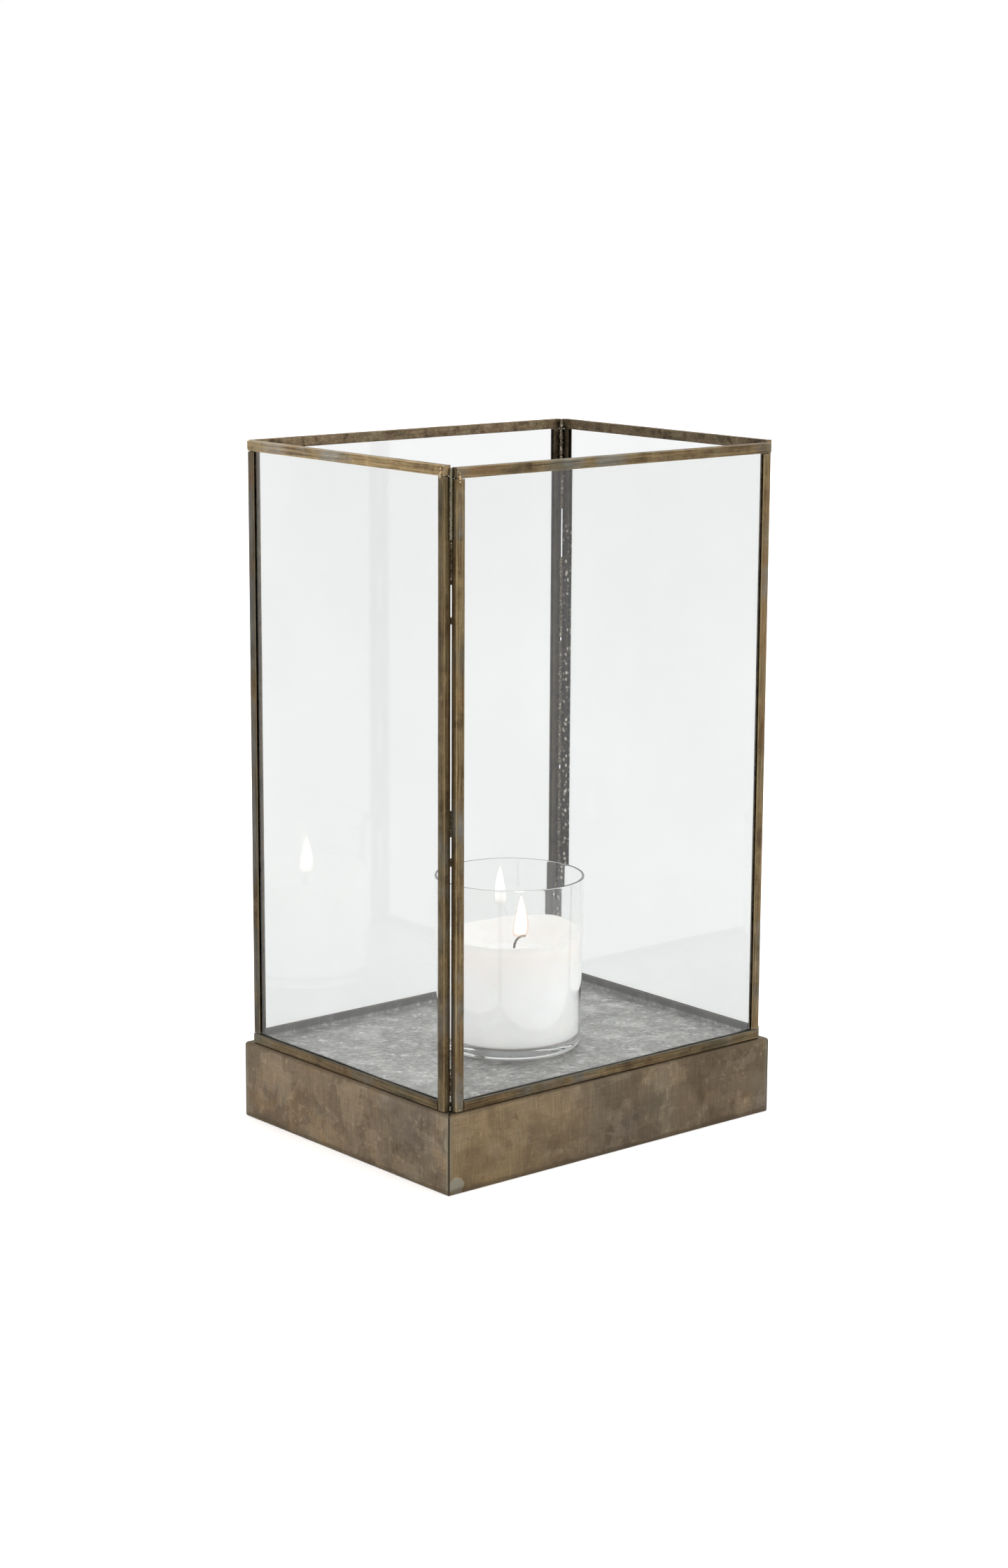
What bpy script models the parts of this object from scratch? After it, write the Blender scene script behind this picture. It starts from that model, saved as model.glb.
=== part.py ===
"""Candle lantern: four soldered glass panels form an open-topped cover, which stands loosely on a folded
brass plinth around a zinc tray. A glass cup of wax stands on the tray. The origin is the centre of the
plinth's underside, +Z is up, +X runs along the long side and the front panel faces -Y."""

import math

import bmesh
import bpy
from mathutils import Matrix

# Plinth
PLINTH_LENGTH = 0.2144
PLINTH_WIDTH = 0.1664
PLINTH_HEIGHT = 0.040
PLINTH_SHEET = 0.0009
PLINTH_BEND = 0.0016
PLINTH_LEDGE = 0.014
PLINTH_HEM = 0.009
PLINTH_SOLDER_LEG = 0.004

# Cover
LEDGE_REVEAL = 0.0015
COVER_LENGTH = PLINTH_LENGTH - 2 * LEDGE_REVEAL
COVER_WIDTH = PLINTH_WIDTH - 2 * LEDGE_REVEAL
COVER_TOP = 0.350
FRONT_PANEL_DROP = 0.001
CAME_FACE = 0.0051
CAME_DEPTH = 0.0038
CAME_WALL = 0.00045
CAME_EDGE_RADIUS = 0.0008
CAME_BACK_RADIUS = 0.0002
GLASS_THICKNESS = 0.0018

# Solder inside each upright corner: place, middle height and length. The front left corner is only
# tacked, the back right one is soldered almost all the way, and the other two have long seams.
TACKS = {
    "front_left": (
        ("bottom", 0.0545, 0.013),
        ("lower", 0.1625, 0.004),
        ("middle", 0.1810, 0.013),
        ("upper", 0.2775, 0.004),
        ("top", 0.3210, 0.054),
    ),
    "front_right": (
        ("bottom", 0.0585, 0.021),
        ("lower", 0.1190, 0.044),
        ("middle", 0.1980, 0.058),
        ("upper", 0.2710, 0.040),
        ("top", 0.3300, 0.036),
    ),
    "back_right": (
        ("bottom", 0.0673, 0.0385),
        ("lower", 0.1235, 0.070),
        ("middle", 0.1950, 0.069),
        ("upper", 0.2535, 0.044),
        ("top", 0.3255, 0.047),
    ),
    "back_left": (
        ("bottom", 0.0600, 0.024),
        ("lower", 0.1150, 0.050),
        ("middle", 0.1900, 0.060),
        ("upper", 0.2620, 0.048),
        ("top", 0.3270, 0.042),
    ),
}
TACK_LEG = 0.0030

# Tray
TRAY_CLEARANCE = 0.0009
TRAY_SHEET = 0.00065
TRAY_RIM = 0.0063

# Candle
CANDLE_X = -0.0061
CANDLE_Y = -0.0080
CUP_HEIGHT = 0.0890
CUP_TOP_RADIUS = 0.0375
CUP_FOOT_RADIUS = 0.0361
CUP_WALL = 0.0015
CUP_BASE = 0.0050
CUP_FOOT_ROUND = 0.0035
WAX_HEIGHT = 0.0592
WAX_POOL_HEIGHT = 0.0480
WAX_POOL_RADIUS = 0.018
WICK_RADIUS = 0.0006
WICK_HOLE = 0.0009
WICK_WELL = 0.0046
WICK_WELL_DEPTH = 0.0060
WICK_LEAN_AZIMUTH = math.radians(-40)
TAB_RADIUS = 0.015
TAB_SHEET = 0.0004
TAB_COLLAR_RADIUS = 0.0024
TAB_COLLAR_HEIGHT = 0.0070

# Clearance between pieces that touch
GAP = 0.0003
ROUND_STEPS = 48
OVERRUN = 0.002

PLINTH_SIDES = {"front": (PLINTH_LENGTH, PLINTH_WIDTH), "right": (PLINTH_WIDTH, PLINTH_LENGTH)}
PLINTH_SIDES.update(back=PLINTH_SIDES["front"], left=PLINTH_SIDES["right"])
QUARTER_TURNS = {"front": 0, "right": 1, "back": 2, "left": 3}
CORNER_TURNS = {"front_left": 0, "front_right": 1, "back_right": 2, "back_left": 3}
# The front and left panels are mitred where they meet, and every other frame corner is butted.
MITRED_SIDES = {"front": ("left",), "left": ("right",), "back": (), "right": ()}


def clear_scene():
    for obj in list(bpy.data.objects):
        bpy.data.objects.remove(obj, do_unlink=True)


def new_collection(name):
    collection = bpy.data.collections.new(name)
    bpy.context.scene.collection.children.link(collection)
    return collection


def new_material(name, colour, roughness, metallic=0.0, transmission=0.0):
    material = bpy.data.materials.new(name)
    material.use_nodes = True
    shader = material.node_tree.nodes["Principled BSDF"]
    shader.inputs["Base Color"].default_value = (*colour, 1.0)
    shader.inputs["Roughness"].default_value = roughness
    shader.inputs["Metallic"].default_value = metallic
    shader.inputs["Transmission Weight"].default_value = transmission
    return material


def new_object(name, data, collection, material=None, parent=None, location=(0, 0, 0), rotation=(0, 0, 0)):
    obj = bpy.data.objects.new(name, data)
    collection.objects.link(obj)
    if material:
        data.materials.append(material)
    obj.parent = parent
    obj.location = location
    obj.rotation_euler = rotation
    return obj


def mesh_from(bm, name):
    mesh = bpy.data.meshes.new(name)
    bmesh.ops.recalc_face_normals(bm, faces=bm.faces)
    bm.to_mesh(mesh)
    bm.free()
    return mesh


def box_bmesh(low, high):
    """A box between two corners."""
    bm = bmesh.new()
    bmesh.ops.create_cube(bm, size=1.0)
    size = [b - a for a, b in zip(low, high)]
    middle = [(a + b) / 2 for a, b in zip(low, high)]
    matrix = Matrix.Translation(middle) @ Matrix.Diagonal((*size, 1.0))
    bmesh.ops.transform(bm, matrix=matrix, verts=bm.verts)
    return bm


def trim(bm, point, normal):
    """Cuts away everything on the normal's side of a plane and closes the cut."""
    geometry = bm.verts[:] + bm.edges[:] + bm.faces[:]
    cut = bmesh.ops.bisect_plane(bm, geom=geometry, plane_co=point, plane_no=normal, clear_outer=True)
    edges = [item for item in cut["geom_cut"] if isinstance(item, bmesh.types.BMEdge)]
    bmesh.ops.edgenet_fill(bm, edges=edges)


def outline_bmesh(outline, length):
    """A flat outline in XY, extruded along Z to a length centred on it."""
    curve = bpy.data.curves.new("outline", "CURVE")
    curve.dimensions = "2D"
    curve.fill_mode = "BOTH"
    curve.extrude = length / 2
    spline = curve.splines.new("POLY")
    spline.points.add(len(outline) - 1)
    for point, (x, y) in zip(spline.points, outline):
        point.co = (x, y, 0.0, 1.0)
    spline.use_cyclic_u = True
    obj = bpy.data.objects.new("outline", curve)
    bpy.context.scene.collection.objects.link(obj)
    evaluated = obj.evaluated_get(bpy.context.evaluated_depsgraph_get())
    mesh = bpy.data.meshes.new_from_object(evaluated)
    bpy.data.objects.remove(obj)
    bm = bmesh.new()
    bm.from_mesh(mesh)
    bpy.data.meshes.remove(mesh)
    bmesh.ops.remove_doubles(bm, verts=bm.verts, dist=1e-6)
    return bm


def arc(centre, radius, start, end, steps):
    """Points along a circle, with angles in degrees."""
    angles = [math.radians(start + (end - start) * i / steps) for i in range(steps + 1)]
    return [(centre[0] + radius * math.cos(a), centre[1] + radius * math.sin(a)) for a in angles]


def turned(name, profile, closed, material, parent, collection, height):
    """A solid turned about Z from (radius, height) points whose outer side runs downward."""
    mesh = bpy.data.meshes.new(name)
    count = len(profile)
    edges = [(i, i + 1) for i in range(count - 1)]
    if closed:
        edges.append((count - 1, 0))
    mesh.from_pydata([(r, 0.0, z) for r, z in profile], edges, [])
    obj = new_object(name, mesh, collection, material, parent, (0, 0, height))
    screw = obj.modifiers.new("turn", "SCREW")
    screw.steps = ROUND_STEPS
    screw.render_steps = ROUND_STEPS
    screw.use_merge_vertices = True
    screw.merge_threshold = 0.00001
    return obj


# The cover


def panel_empty(side, collection):
    """Origin at the middle of a panel's lower outer edge, +X to the right as seen from outside, +Y inward."""
    across = COVER_WIDTH if side in ("front", "back") else COVER_LENGTH
    turn = QUARTER_TURNS[side] * math.pi / 2
    location = Matrix.Rotation(turn, 4, "Z") @ Matrix.Translation((0, -across / 2, PLINTH_HEIGHT + GAP))
    return new_object("panel_" + side, None, collection, None, None, location.translation, (0, 0, turn))


def web_edges(bm, depth):
    """The long edge at z = 0 that lies at one depth."""
    found = []
    for edge in bm.edges:
        start, end = (vert.co for vert in edge.verts)
        if max(start.z, end.z) < 1e-6 and max(abs(start.y - depth), abs(end.y - depth)) < 1e-6:
            found.append(edge)
    return found


def came_mesh(name, length, ends):
    """A bar along +X with its web at z = 0, well rounded in front, and each end square or mitred."""
    bm = box_bmesh((0, 0, 0), (length, CAME_DEPTH, CAME_FACE))
    for depth, radius in ((0.0, CAME_EDGE_RADIUS), (CAME_DEPTH, CAME_BACK_RADIUS)):
        edges = web_edges(bm, depth)
        bmesh.ops.bevel(bm, geom=edges, offset=radius, segments=3, profile=0.5, affect="EDGES")
    setback = GAP * math.sqrt(0.5)
    if ends[0] == "mitred":
        trim(bm, (setback, 0, 0), (-1, 0, 1))
    if ends[1] == "mitred":
        trim(bm, (length - setback, 0, 0), (1, 0, 1))
    return mesh_from(bm, name)


def came(name, panel, length, ends, location, turn, looks, parts, cutters):
    """One strip of the frame: a folded channel, whose groove is a box cut out of the bar."""
    bar = new_object(name, came_mesh(name, length, ends), parts, looks["came_brass"], panel, location, (0, turn, 0))
    start = CAME_WALL if ends[0] == "closed" else -OVERRUN
    finish = length - CAME_WALL if ends[1] == "closed" else length + OVERRUN
    low = (start, CAME_WALL, CAME_WALL)
    high = (finish, CAME_DEPTH - CAME_WALL, CAME_FACE + OVERRUN)
    groove_name = name + "_groove"
    groove_mesh = mesh_from(box_bmesh(low, high), groove_name)
    groove = new_object(groove_name, groove_mesh, cutters, None, panel, location, (0, turn, 0))
    groove.hide_render = True
    groove.display_type = "WIRE"
    cut = bar.modifiers.new("groove", "BOOLEAN")
    cut.operation = "DIFFERENCE"
    cut.object = groove


def glass_panel(side, looks, parts, cutters):
    """A pane with a rail above and below it and a stile on each side."""
    panel = panel_empty(side, parts)
    across = COVER_LENGTH if side in ("front", "back") else COVER_WIDTH
    width = across - 2 * (CAME_DEPTH + GAP)
    height = COVER_TOP - PLINTH_HEIGHT - GAP
    if side == "front":
        height -= FRONT_PANEL_DROP
    mitred = MITRED_SIDES[side]
    left_rail = "mitred" if "left" in mitred else "closed"
    right_rail = "mitred" if "right" in mitred else "closed"
    half = width / 2
    came(side + "_rail_bottom", panel, width, (left_rail, right_rail), (-half, 0, 0), 0, looks, parts, cutters)
    came(side + "_rail_top", panel, width, (right_rail, left_rail), (half, 0, height), math.pi, looks, parts, cutters)
    for end, sign in (("left", 1), ("right", -1)):
        style = "mitred" if end in mitred else "butted"
        setback = 0.0 if end in mitred else CAME_FACE + GAP
        foot = height - setback if sign > 0 else setback
        name = side + "_stile_" + end
        length = height - 2 * setback
        location = (-sign * half, 0, foot)
        came(name, panel, length, (style, style), location, sign * math.pi / 2, looks, parts, cutters)
    edge = CAME_WALL + GAP
    middle = CAME_DEPTH / 2
    low = (edge - half, middle - GLASS_THICKNESS / 2, edge)
    high = (half - edge, middle + GLASS_THICKNESS / 2, height - edge)
    name = side + "_pane"
    new_object(name, mesh_from(box_bmesh(low, high), name), parts, looks["pane_glass"], panel)


def fillet_outline(leg, steps=4):
    """A quarter of a disc that fills an inside corner."""
    return [(0.0, 0.0)] + arc((0.0, 0.0), leg, 0, 90, steps)


def corner_empty(name, corner, half_length, half_width, collection):
    """Origin in an inside corner, with +X and +Y pointing into the lantern."""
    turn = CORNER_TURNS[corner]
    x = half_length if corner.endswith("right") else -half_length
    y = half_width if corner.startswith("back") else -half_width
    return new_object(name, None, collection, None, None, (x, y, 0), (0, 0, turn * math.pi / 2))


def cover_solder(looks, parts):
    """The solder that holds the four panels together at the upright corners."""
    half_length = COVER_LENGTH / 2 - CAME_DEPTH - GAP
    half_width = COVER_WIDTH / 2 - CAME_DEPTH - GAP
    for corner, tacks in TACKS.items():
        parent = corner_empty("cover_corner_" + corner, corner, half_length, half_width, parts)
        for place, height, length in tacks:
            name = "solder_" + corner + "_" + place
            mesh = mesh_from(outline_bmesh(fillet_outline(TACK_LEG), length), name)
            new_object(name, mesh, parts, looks["solder"], parent, (0, 0, height))


# The plinth and its tray


def plinth_outline():
    """The folded section: a hem at the foot, the outer wall, a rounded bend and the ledge on top."""
    sheet = PLINTH_SHEET
    centre = (PLINTH_BEND, PLINTH_HEIGHT - PLINTH_BEND)
    outer = [(PLINTH_HEM, 0.0), (0.0, 0.0)] + arc(centre, PLINTH_BEND, 180, 90, 4)
    outer.append((PLINTH_LEDGE, PLINTH_HEIGHT))
    inner = [(PLINTH_LEDGE, PLINTH_HEIGHT - sheet)] + arc(centre, PLINTH_BEND - sheet, 90, 180, 4)
    return outer + inner + [(sheet, sheet), (PLINTH_HEM, sheet)]


def plinth_plate(side, looks, parts):
    """One folded side, mitred at both ends to meet its neighbours."""
    length, across = PLINTH_SIDES[side]
    bm = outline_bmesh(plinth_outline(), length)
    upright = Matrix(((0, 0, 1, 0), (1, 0, 0, 0), (0, 1, 0, 0), (0, 0, 0, 1)))
    bmesh.ops.transform(bm, matrix=upright, verts=bm.verts)
    reach = length / 2 - GAP * math.sqrt(0.5)
    trim(bm, (reach, 0, 0), (1, 1, 0))
    trim(bm, (-reach, 0, 0), (-1, 1, 0))
    name = "plinth_" + side
    turn = QUARTER_TURNS[side] * math.pi / 2
    location = Matrix.Rotation(turn, 4, "Z") @ Matrix.Translation((0, -across / 2, 0))
    new_object(name, mesh_from(bm, name), parts, looks["plinth_brass"], None, location.translation, (0, 0, turn))


def plinth_solder(looks, parts):
    """A seam of solder up the inside of each plinth corner."""
    inset = PLINTH_SHEET + GAP
    length = PLINTH_HEIGHT - 2 * (PLINTH_SHEET + GAP)
    for corner in CORNER_TURNS:
        half_length = PLINTH_LENGTH / 2 - inset
        half_width = PLINTH_WIDTH / 2 - inset
        parent = corner_empty("plinth_corner_" + corner, corner, half_length, half_width, parts)
        name = "plinth_solder_" + corner
        mesh = mesh_from(outline_bmesh(fillet_outline(PLINTH_SOLDER_LEG), length), name)
        new_object(name, mesh, parts, looks["solder"], parent, (0, 0, PLINTH_HEIGHT / 2))


def tray(looks, parts):
    """A shallow zinc tray: an open box whose wall thickness grows inward."""
    half_length = COVER_LENGTH / 2 - CAME_DEPTH - TRAY_CLEARANCE
    half_width = COVER_WIDTH / 2 - CAME_DEPTH - TRAY_CLEARANCE
    bm = box_bmesh((-half_length, -half_width, 0), (half_length, half_width, TRAY_RIM))
    top = [face for face in bm.faces if face.normal.z > 0.9]
    bmesh.ops.delete(bm, geom=top, context="FACES_ONLY")
    mesh = bpy.data.meshes.new("tray")
    bm.to_mesh(mesh)
    bm.free()
    obj = new_object("tray", mesh, parts, looks["tray_zinc"], None, (0, 0, PLINTH_HEIGHT + GAP))
    sheet = obj.modifiers.new("sheet", "SOLIDIFY")
    sheet.thickness = TRAY_SHEET
    sheet.offset = -1.0
    sheet.use_even_offset = True


# The candle


def cup_inner_radius(height):
    """Inside radius of the tapered cup at a height above its foot."""
    taper = (CUP_TOP_RADIUS - CUP_FOOT_RADIUS) / CUP_HEIGHT
    return CUP_FOOT_RADIUS + taper * height - CUP_WALL


def candle_cup(looks, parts, parent):
    foot = (CUP_FOOT_RADIUS - CUP_FOOT_ROUND, CUP_FOOT_ROUND)
    rim_radius = CUP_WALL / 2
    rim = (CUP_TOP_RADIUS - rim_radius, CUP_HEIGHT - rim_radius)
    floor_round = 0.0015
    floor = (cup_inner_radius(CUP_BASE) - floor_round, CUP_BASE + floor_round)
    profile = [(0.0, CUP_BASE)]
    profile += arc(floor, floor_round, 270, 360, 3)
    profile += arc(rim, rim_radius, 180, 0, 4)
    profile += arc(foot, CUP_FOOT_ROUND, 0, -90, 4)
    profile.append((0.0, 0.0))
    turned("candle_cup", profile, False, looks["cup_glass"], parent, parts, 0)


def wax_fill(looks, parts, parent):
    """White wax with a melted hollow, a well around the wick and a recess over the wick tab."""
    base = CUP_BASE + GAP
    slope_steps = 6
    top_radius = cup_inner_radius(WAX_HEIGHT) - GAP
    foot_radius = cup_inner_radius(base) - GAP - 0.0015
    profile = [(WICK_HOLE, WAX_POOL_HEIGHT - WICK_WELL_DEPTH), (WICK_WELL, WAX_POOL_HEIGHT)]
    for i in range(slope_steps + 1):
        t = i / slope_steps
        rise = (1 - math.cos(math.pi * t)) / 2
        radius = WAX_POOL_RADIUS + (top_radius - WAX_POOL_RADIUS) * t
        profile.append((radius, WAX_POOL_HEIGHT + (WAX_HEIGHT - WAX_POOL_HEIGHT) * rise))
    profile.append((cup_inner_radius(base + 0.002) - GAP, base + 0.002))
    profile.append((foot_radius, base))
    recess = TAB_SHEET + 2 * GAP
    collar = TAB_COLLAR_HEIGHT + 2 * GAP
    profile += [(TAB_RADIUS + GAP, base), (TAB_RADIUS + GAP, base + recess)]
    profile += [(TAB_COLLAR_RADIUS + GAP, base + recess), (TAB_COLLAR_RADIUS + GAP, base + collar)]
    profile.append((WICK_HOLE, base + collar))
    turned("wax", profile, True, looks["wax"], parent, parts, 0)


def wick_tab(looks, parts, parent):
    """The pressed metal disc and collar that hold the wick's foot."""
    profile = [(WICK_HOLE, TAB_COLLAR_HEIGHT), (TAB_COLLAR_RADIUS, TAB_COLLAR_HEIGHT)]
    profile += [(TAB_COLLAR_RADIUS, TAB_SHEET), (TAB_RADIUS, TAB_SHEET), (TAB_RADIUS, 0.0), (WICK_HOLE, 0.0)]
    turned("wick_tab", profile, True, looks["wick_tab"], parent, parts, CUP_BASE + GAP)


def wick(looks, parts, parent):
    """A braided wick that leans over the melted wax and curls at its burning end."""
    foot = CUP_BASE + 2 * GAP
    bend = WAX_POOL_HEIGHT - WICK_WELL_DEPTH + 0.001
    lean, lean_height = 0.0020, 0.0075
    curl_radius, curl_stretch, curl_end = 0.0050, 1.25, math.radians(100)
    steps = 7
    route = [(0.0, foot), (0.0, bend)]
    for i in range(1, steps + 1):
        t = i / steps
        route.append((lean * t * t * (3 - 2 * t), bend + lean_height * t))
    for i in range(1, steps + 1):
        angle = curl_end * i / steps
        rise = curl_stretch * curl_radius * math.sin(angle)
        route.append((lean + curl_radius * (1 - math.cos(angle)), bend + lean_height + rise))
    curve = bpy.data.curves.new("wick", "CURVE")
    curve.dimensions = "3D"
    curve.bevel_depth = WICK_RADIUS
    curve.bevel_resolution = 2
    curve.use_fill_caps = True
    spline = curve.splines.new("POLY")
    spline.points.add(len(route) - 1)
    for point, (across, height) in zip(spline.points, route):
        x = across * math.cos(WICK_LEAN_AZIMUTH)
        y = across * math.sin(WICK_LEAN_AZIMUTH)
        point.co = (x, y, height, 1.0)
    new_object("wick", curve, parts, looks["wick"], parent)


def smooth_round_pieces(names):
    for name in names:
        mesh = bpy.data.objects[name].data
        mesh.shade_smooth()


def build():
    clear_scene()
    parts = new_collection("candle_lantern")
    cutters = new_collection("cutters")
    looks = {
        "came_brass": new_material("came_brass", (0.22, 0.16, 0.09), 0.45, 0.9),
        "pane_glass": new_material("pane_glass", (0.95, 0.97, 0.96), 0.02, 0.0, 1.0),
        "solder": new_material("solder", (0.30, 0.30, 0.29), 0.5, 0.9),
        "plinth_brass": new_material("plinth_brass", (0.17, 0.125, 0.08), 0.5, 0.85),
        "tray_zinc": new_material("tray_zinc", (0.33, 0.34, 0.33), 0.55, 0.8),
        "cup_glass": new_material("cup_glass", (0.98, 0.98, 0.98), 0.01, 0.0, 1.0),
        "wax": new_material("wax", (0.90, 0.88, 0.86), 0.5),
        "wick": new_material("wick", (0.07, 0.05, 0.04), 0.9),
        "wick_tab": new_material("wick_tab", (0.6, 0.6, 0.6), 0.4, 1.0),
    }
    for side in QUARTER_TURNS:
        glass_panel(side, looks, parts, cutters)
        plinth_plate(side, looks, parts)
    cover_solder(looks, parts)
    plinth_solder(looks, parts)
    tray(looks, parts)
    floor_height = PLINTH_HEIGHT + GAP + TRAY_SHEET + GAP
    candle = new_object("candle", None, parts, None, None, (CANDLE_X, CANDLE_Y, floor_height))
    candle_cup(looks, parts, candle)
    wax_fill(looks, parts, candle)
    wick_tab(looks, parts, candle)
    wick(looks, parts, candle)
    smooth_round_pieces(("candle_cup", "wax", "wick_tab"))


build()
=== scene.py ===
import math

import bmesh
import bpy
from mathutils import Matrix, Vector, noise


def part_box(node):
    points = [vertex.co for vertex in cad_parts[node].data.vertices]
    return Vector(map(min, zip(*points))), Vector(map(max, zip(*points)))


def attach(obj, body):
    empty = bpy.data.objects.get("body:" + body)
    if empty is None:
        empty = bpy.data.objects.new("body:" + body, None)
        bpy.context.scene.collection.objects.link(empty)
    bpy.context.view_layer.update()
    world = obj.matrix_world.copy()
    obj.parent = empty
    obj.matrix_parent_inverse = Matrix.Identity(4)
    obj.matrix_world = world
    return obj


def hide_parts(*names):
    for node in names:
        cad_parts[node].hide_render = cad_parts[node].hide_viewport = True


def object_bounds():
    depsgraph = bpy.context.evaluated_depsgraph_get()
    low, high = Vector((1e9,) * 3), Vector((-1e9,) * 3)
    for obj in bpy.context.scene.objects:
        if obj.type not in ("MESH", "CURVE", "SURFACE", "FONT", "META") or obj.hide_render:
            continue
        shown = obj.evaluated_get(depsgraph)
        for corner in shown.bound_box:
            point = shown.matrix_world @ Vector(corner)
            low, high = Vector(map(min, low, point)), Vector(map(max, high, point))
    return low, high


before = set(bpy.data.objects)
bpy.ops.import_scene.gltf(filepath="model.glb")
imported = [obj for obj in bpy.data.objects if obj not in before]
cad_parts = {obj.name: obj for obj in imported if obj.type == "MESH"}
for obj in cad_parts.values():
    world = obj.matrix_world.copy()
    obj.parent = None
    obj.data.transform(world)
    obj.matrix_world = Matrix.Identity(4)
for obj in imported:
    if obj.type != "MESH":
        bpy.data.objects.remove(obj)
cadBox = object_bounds()
scene = bpy.context.scene
scene.view_settings.view_transform = "Standard"  # pale things stay pale
scene.cycles.blur_glossy = 0.0  # daylight reaches the candle through the panes unblurred
scene.cycles.max_bounces = 24
scene.cycles.glossy_bounces = 10
scene.cycles.transmission_bounces = 24
print("frame loaded:", len(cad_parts), "nodes")


# node helpers, for shader and geometry trees alike

def plug(tree, value, socket):
    if isinstance(value, bpy.types.NodeSocket):
        tree.links.new(value, socket)
    else:
        socket.default_value = value


def addNode(tree, kind, inputs=(), **settings):
    made = tree.nodes.new(kind)
    for key, value in settings.items():
        setattr(made, key, value)
    for key, value in dict(inputs).items():
        plug(tree, value, made.inputs[key])
    return made


def calc(tree, operation, a, b=0.0):
    return addNode(tree, "ShaderNodeMath", {0: a, 1: b}, operation=operation).outputs[0]


def plus(tree, a, b):
    return calc(tree, "ADD", a, b)


def minus(tree, a, b):
    return calc(tree, "SUBTRACT", a, b)


def times(tree, a, b):
    return calc(tree, "MULTIPLY", a, b)


def flip(tree, value):
    return calc(tree, "SUBTRACT", 1.0, value)


def vectorCalc(tree, operation, a, b):
    return addNode(tree, "ShaderNodeVectorMath", {0: a, 1: b}, operation=operation).outputs[0]


def joinXyz(tree, x, y, z):
    return addNode(tree, "ShaderNodeCombineXYZ", {0: x, 1: y, 2: z}).outputs[0]


def triple(tree, value):
    return joinXyz(tree, value, value, value)


def splitXyz(tree, vector):
    return addNode(tree, "ShaderNodeSeparateXYZ", {0: vector}).outputs


def fade(tree, value, low, high):
    sockets = {"Value": value, "From Min": low, "From Max": high}
    return addNode(tree, "ShaderNodeMapRange", sockets, interpolation_type="SMOOTHSTEP").outputs[0]


def mixColour(tree, factor, a, b, blend="MIX"):
    mixer = addNode(tree, "ShaderNodeMix", data_type="RGBA", blend_type=blend)
    plug(tree, factor, mixer.inputs[0])
    plug(tree, a, mixer.inputs[6])
    plug(tree, b, mixer.inputs[7])
    return mixer.outputs[2]


def mixValue(tree, factor, a, b):
    return addNode(tree, "ShaderNodeMix", {0: factor, 2: a, 3: b}, data_type="FLOAT").outputs[0]


def noiseAt(tree, vector, detail=4.0, roughness=0.55, scale=1.0, distortion=0.0):
    sockets = {"Vector": vector, "Scale": scale, "Detail": detail}
    sockets.update({"Roughness": roughness, "Distortion": distortion})
    return addNode(tree, "ShaderNodeTexNoise", sockets).outputs["Fac"]


def useGroup(tree, group, inputs):
    return addNode(tree, "ShaderNodeGroup", inputs, node_tree=group).outputs


def newTree(kind, name, inputs, outputs):
    tree = bpy.data.node_groups.new(name, kind)
    for label, (socketKind, value) in inputs.items():
        socket = tree.interface.new_socket(label, in_out="INPUT", socket_type="NodeSocket" + socketKind)
        if value is not None:
            socket.default_value = value
    for label, socketKind in outputs.items():
        tree.interface.new_socket(label, in_out="OUTPUT", socket_type="NodeSocket" + socketKind)
    entry = tree.nodes.new("NodeGroupInput").outputs
    leave = tree.nodes.new("NodeGroupOutput").inputs
    return tree, entry, leave


def newMaterial(name):
    material = bpy.data.materials.new(name)
    material.use_nodes = True
    tree = material.node_tree
    return material, tree, tree.nodes["Principled BSDF"]


def objectCoords(tree, centre=(0.0, 0.0, 0.0), turn=0.0):
    place = tree.nodes.new("ShaderNodeTexCoord").outputs["Object"]
    sockets = {"Vector": place, "Location": [-c for c in centre], "Rotation": (0.0, 0.0, turn)}
    return addNode(tree, "ShaderNodeMapping", sockets).outputs[0]


def attributeVector(tree, name):
    return addNode(tree, "ShaderNodeAttribute", attribute_name=name).outputs["Vector"]


def bump(tree, shader, height, distance, strength=1.0):
    sockets = {"Height": height, "Distance": distance, "Strength": strength}
    tree.links.new(addNode(tree, "ShaderNodeBump", sockets).outputs[0], shader.inputs["Normal"])


# finishes that several materials share

def makeAgedMetal():
    inputs = {
        "Vector": ("Vector", None),
        "Patch Size": ("Float", 0.02),
        "Light": ("Color", (0.2, 0.15, 0.1, 1)),
        "Mid": ("Color", (0.1, 0.08, 0.05, 1)),
        "Dark": ("Color", (0.04, 0.03, 0.02, 1)),
        "Bloom": ("Color", (0.12, 0.12, 0.08, 1)),
        "Bloom Amount": ("Float", 0.5),
    }
    outputs = {"Color": "Color", "Patches": "Float", "Height": "Float"}
    tree, entry, leave = newTree("ShaderNodeTree", "agedMetal", inputs, outputs)
    place = vectorCalc(tree, "DIVIDE", entry["Vector"], triple(tree, entry["Patch Size"]))
    broad = noiseAt(tree, place, 6.0, 0.62, distortion=0.35)
    shifted = vectorCalc(tree, "ADD", place, (5.2, 1.7, 8.8))
    cloudy = noiseAt(tree, shifted, 5.0, 0.6, scale=0.45)
    fine = noiseAt(tree, shifted, 6.0, 0.7, scale=3.1)
    base = mixColour(tree, fade(tree, broad, 0.34, 0.54), entry["Dark"], entry["Mid"])
    lit = times(tree, fade(tree, fine, 0.46, 0.72), fade(tree, broad, 0.42, 0.66))
    base = mixColour(tree, lit, base, entry["Light"])
    bloom = times(tree, fade(tree, cloudy, 0.48, 0.66), entry["Bloom Amount"])
    tree.links.new(mixColour(tree, bloom, base, entry["Bloom"]), leave["Color"])
    tree.links.new(broad, leave["Patches"])
    tree.links.new(plus(tree, broad, fine), leave["Height"])
    return tree


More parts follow.
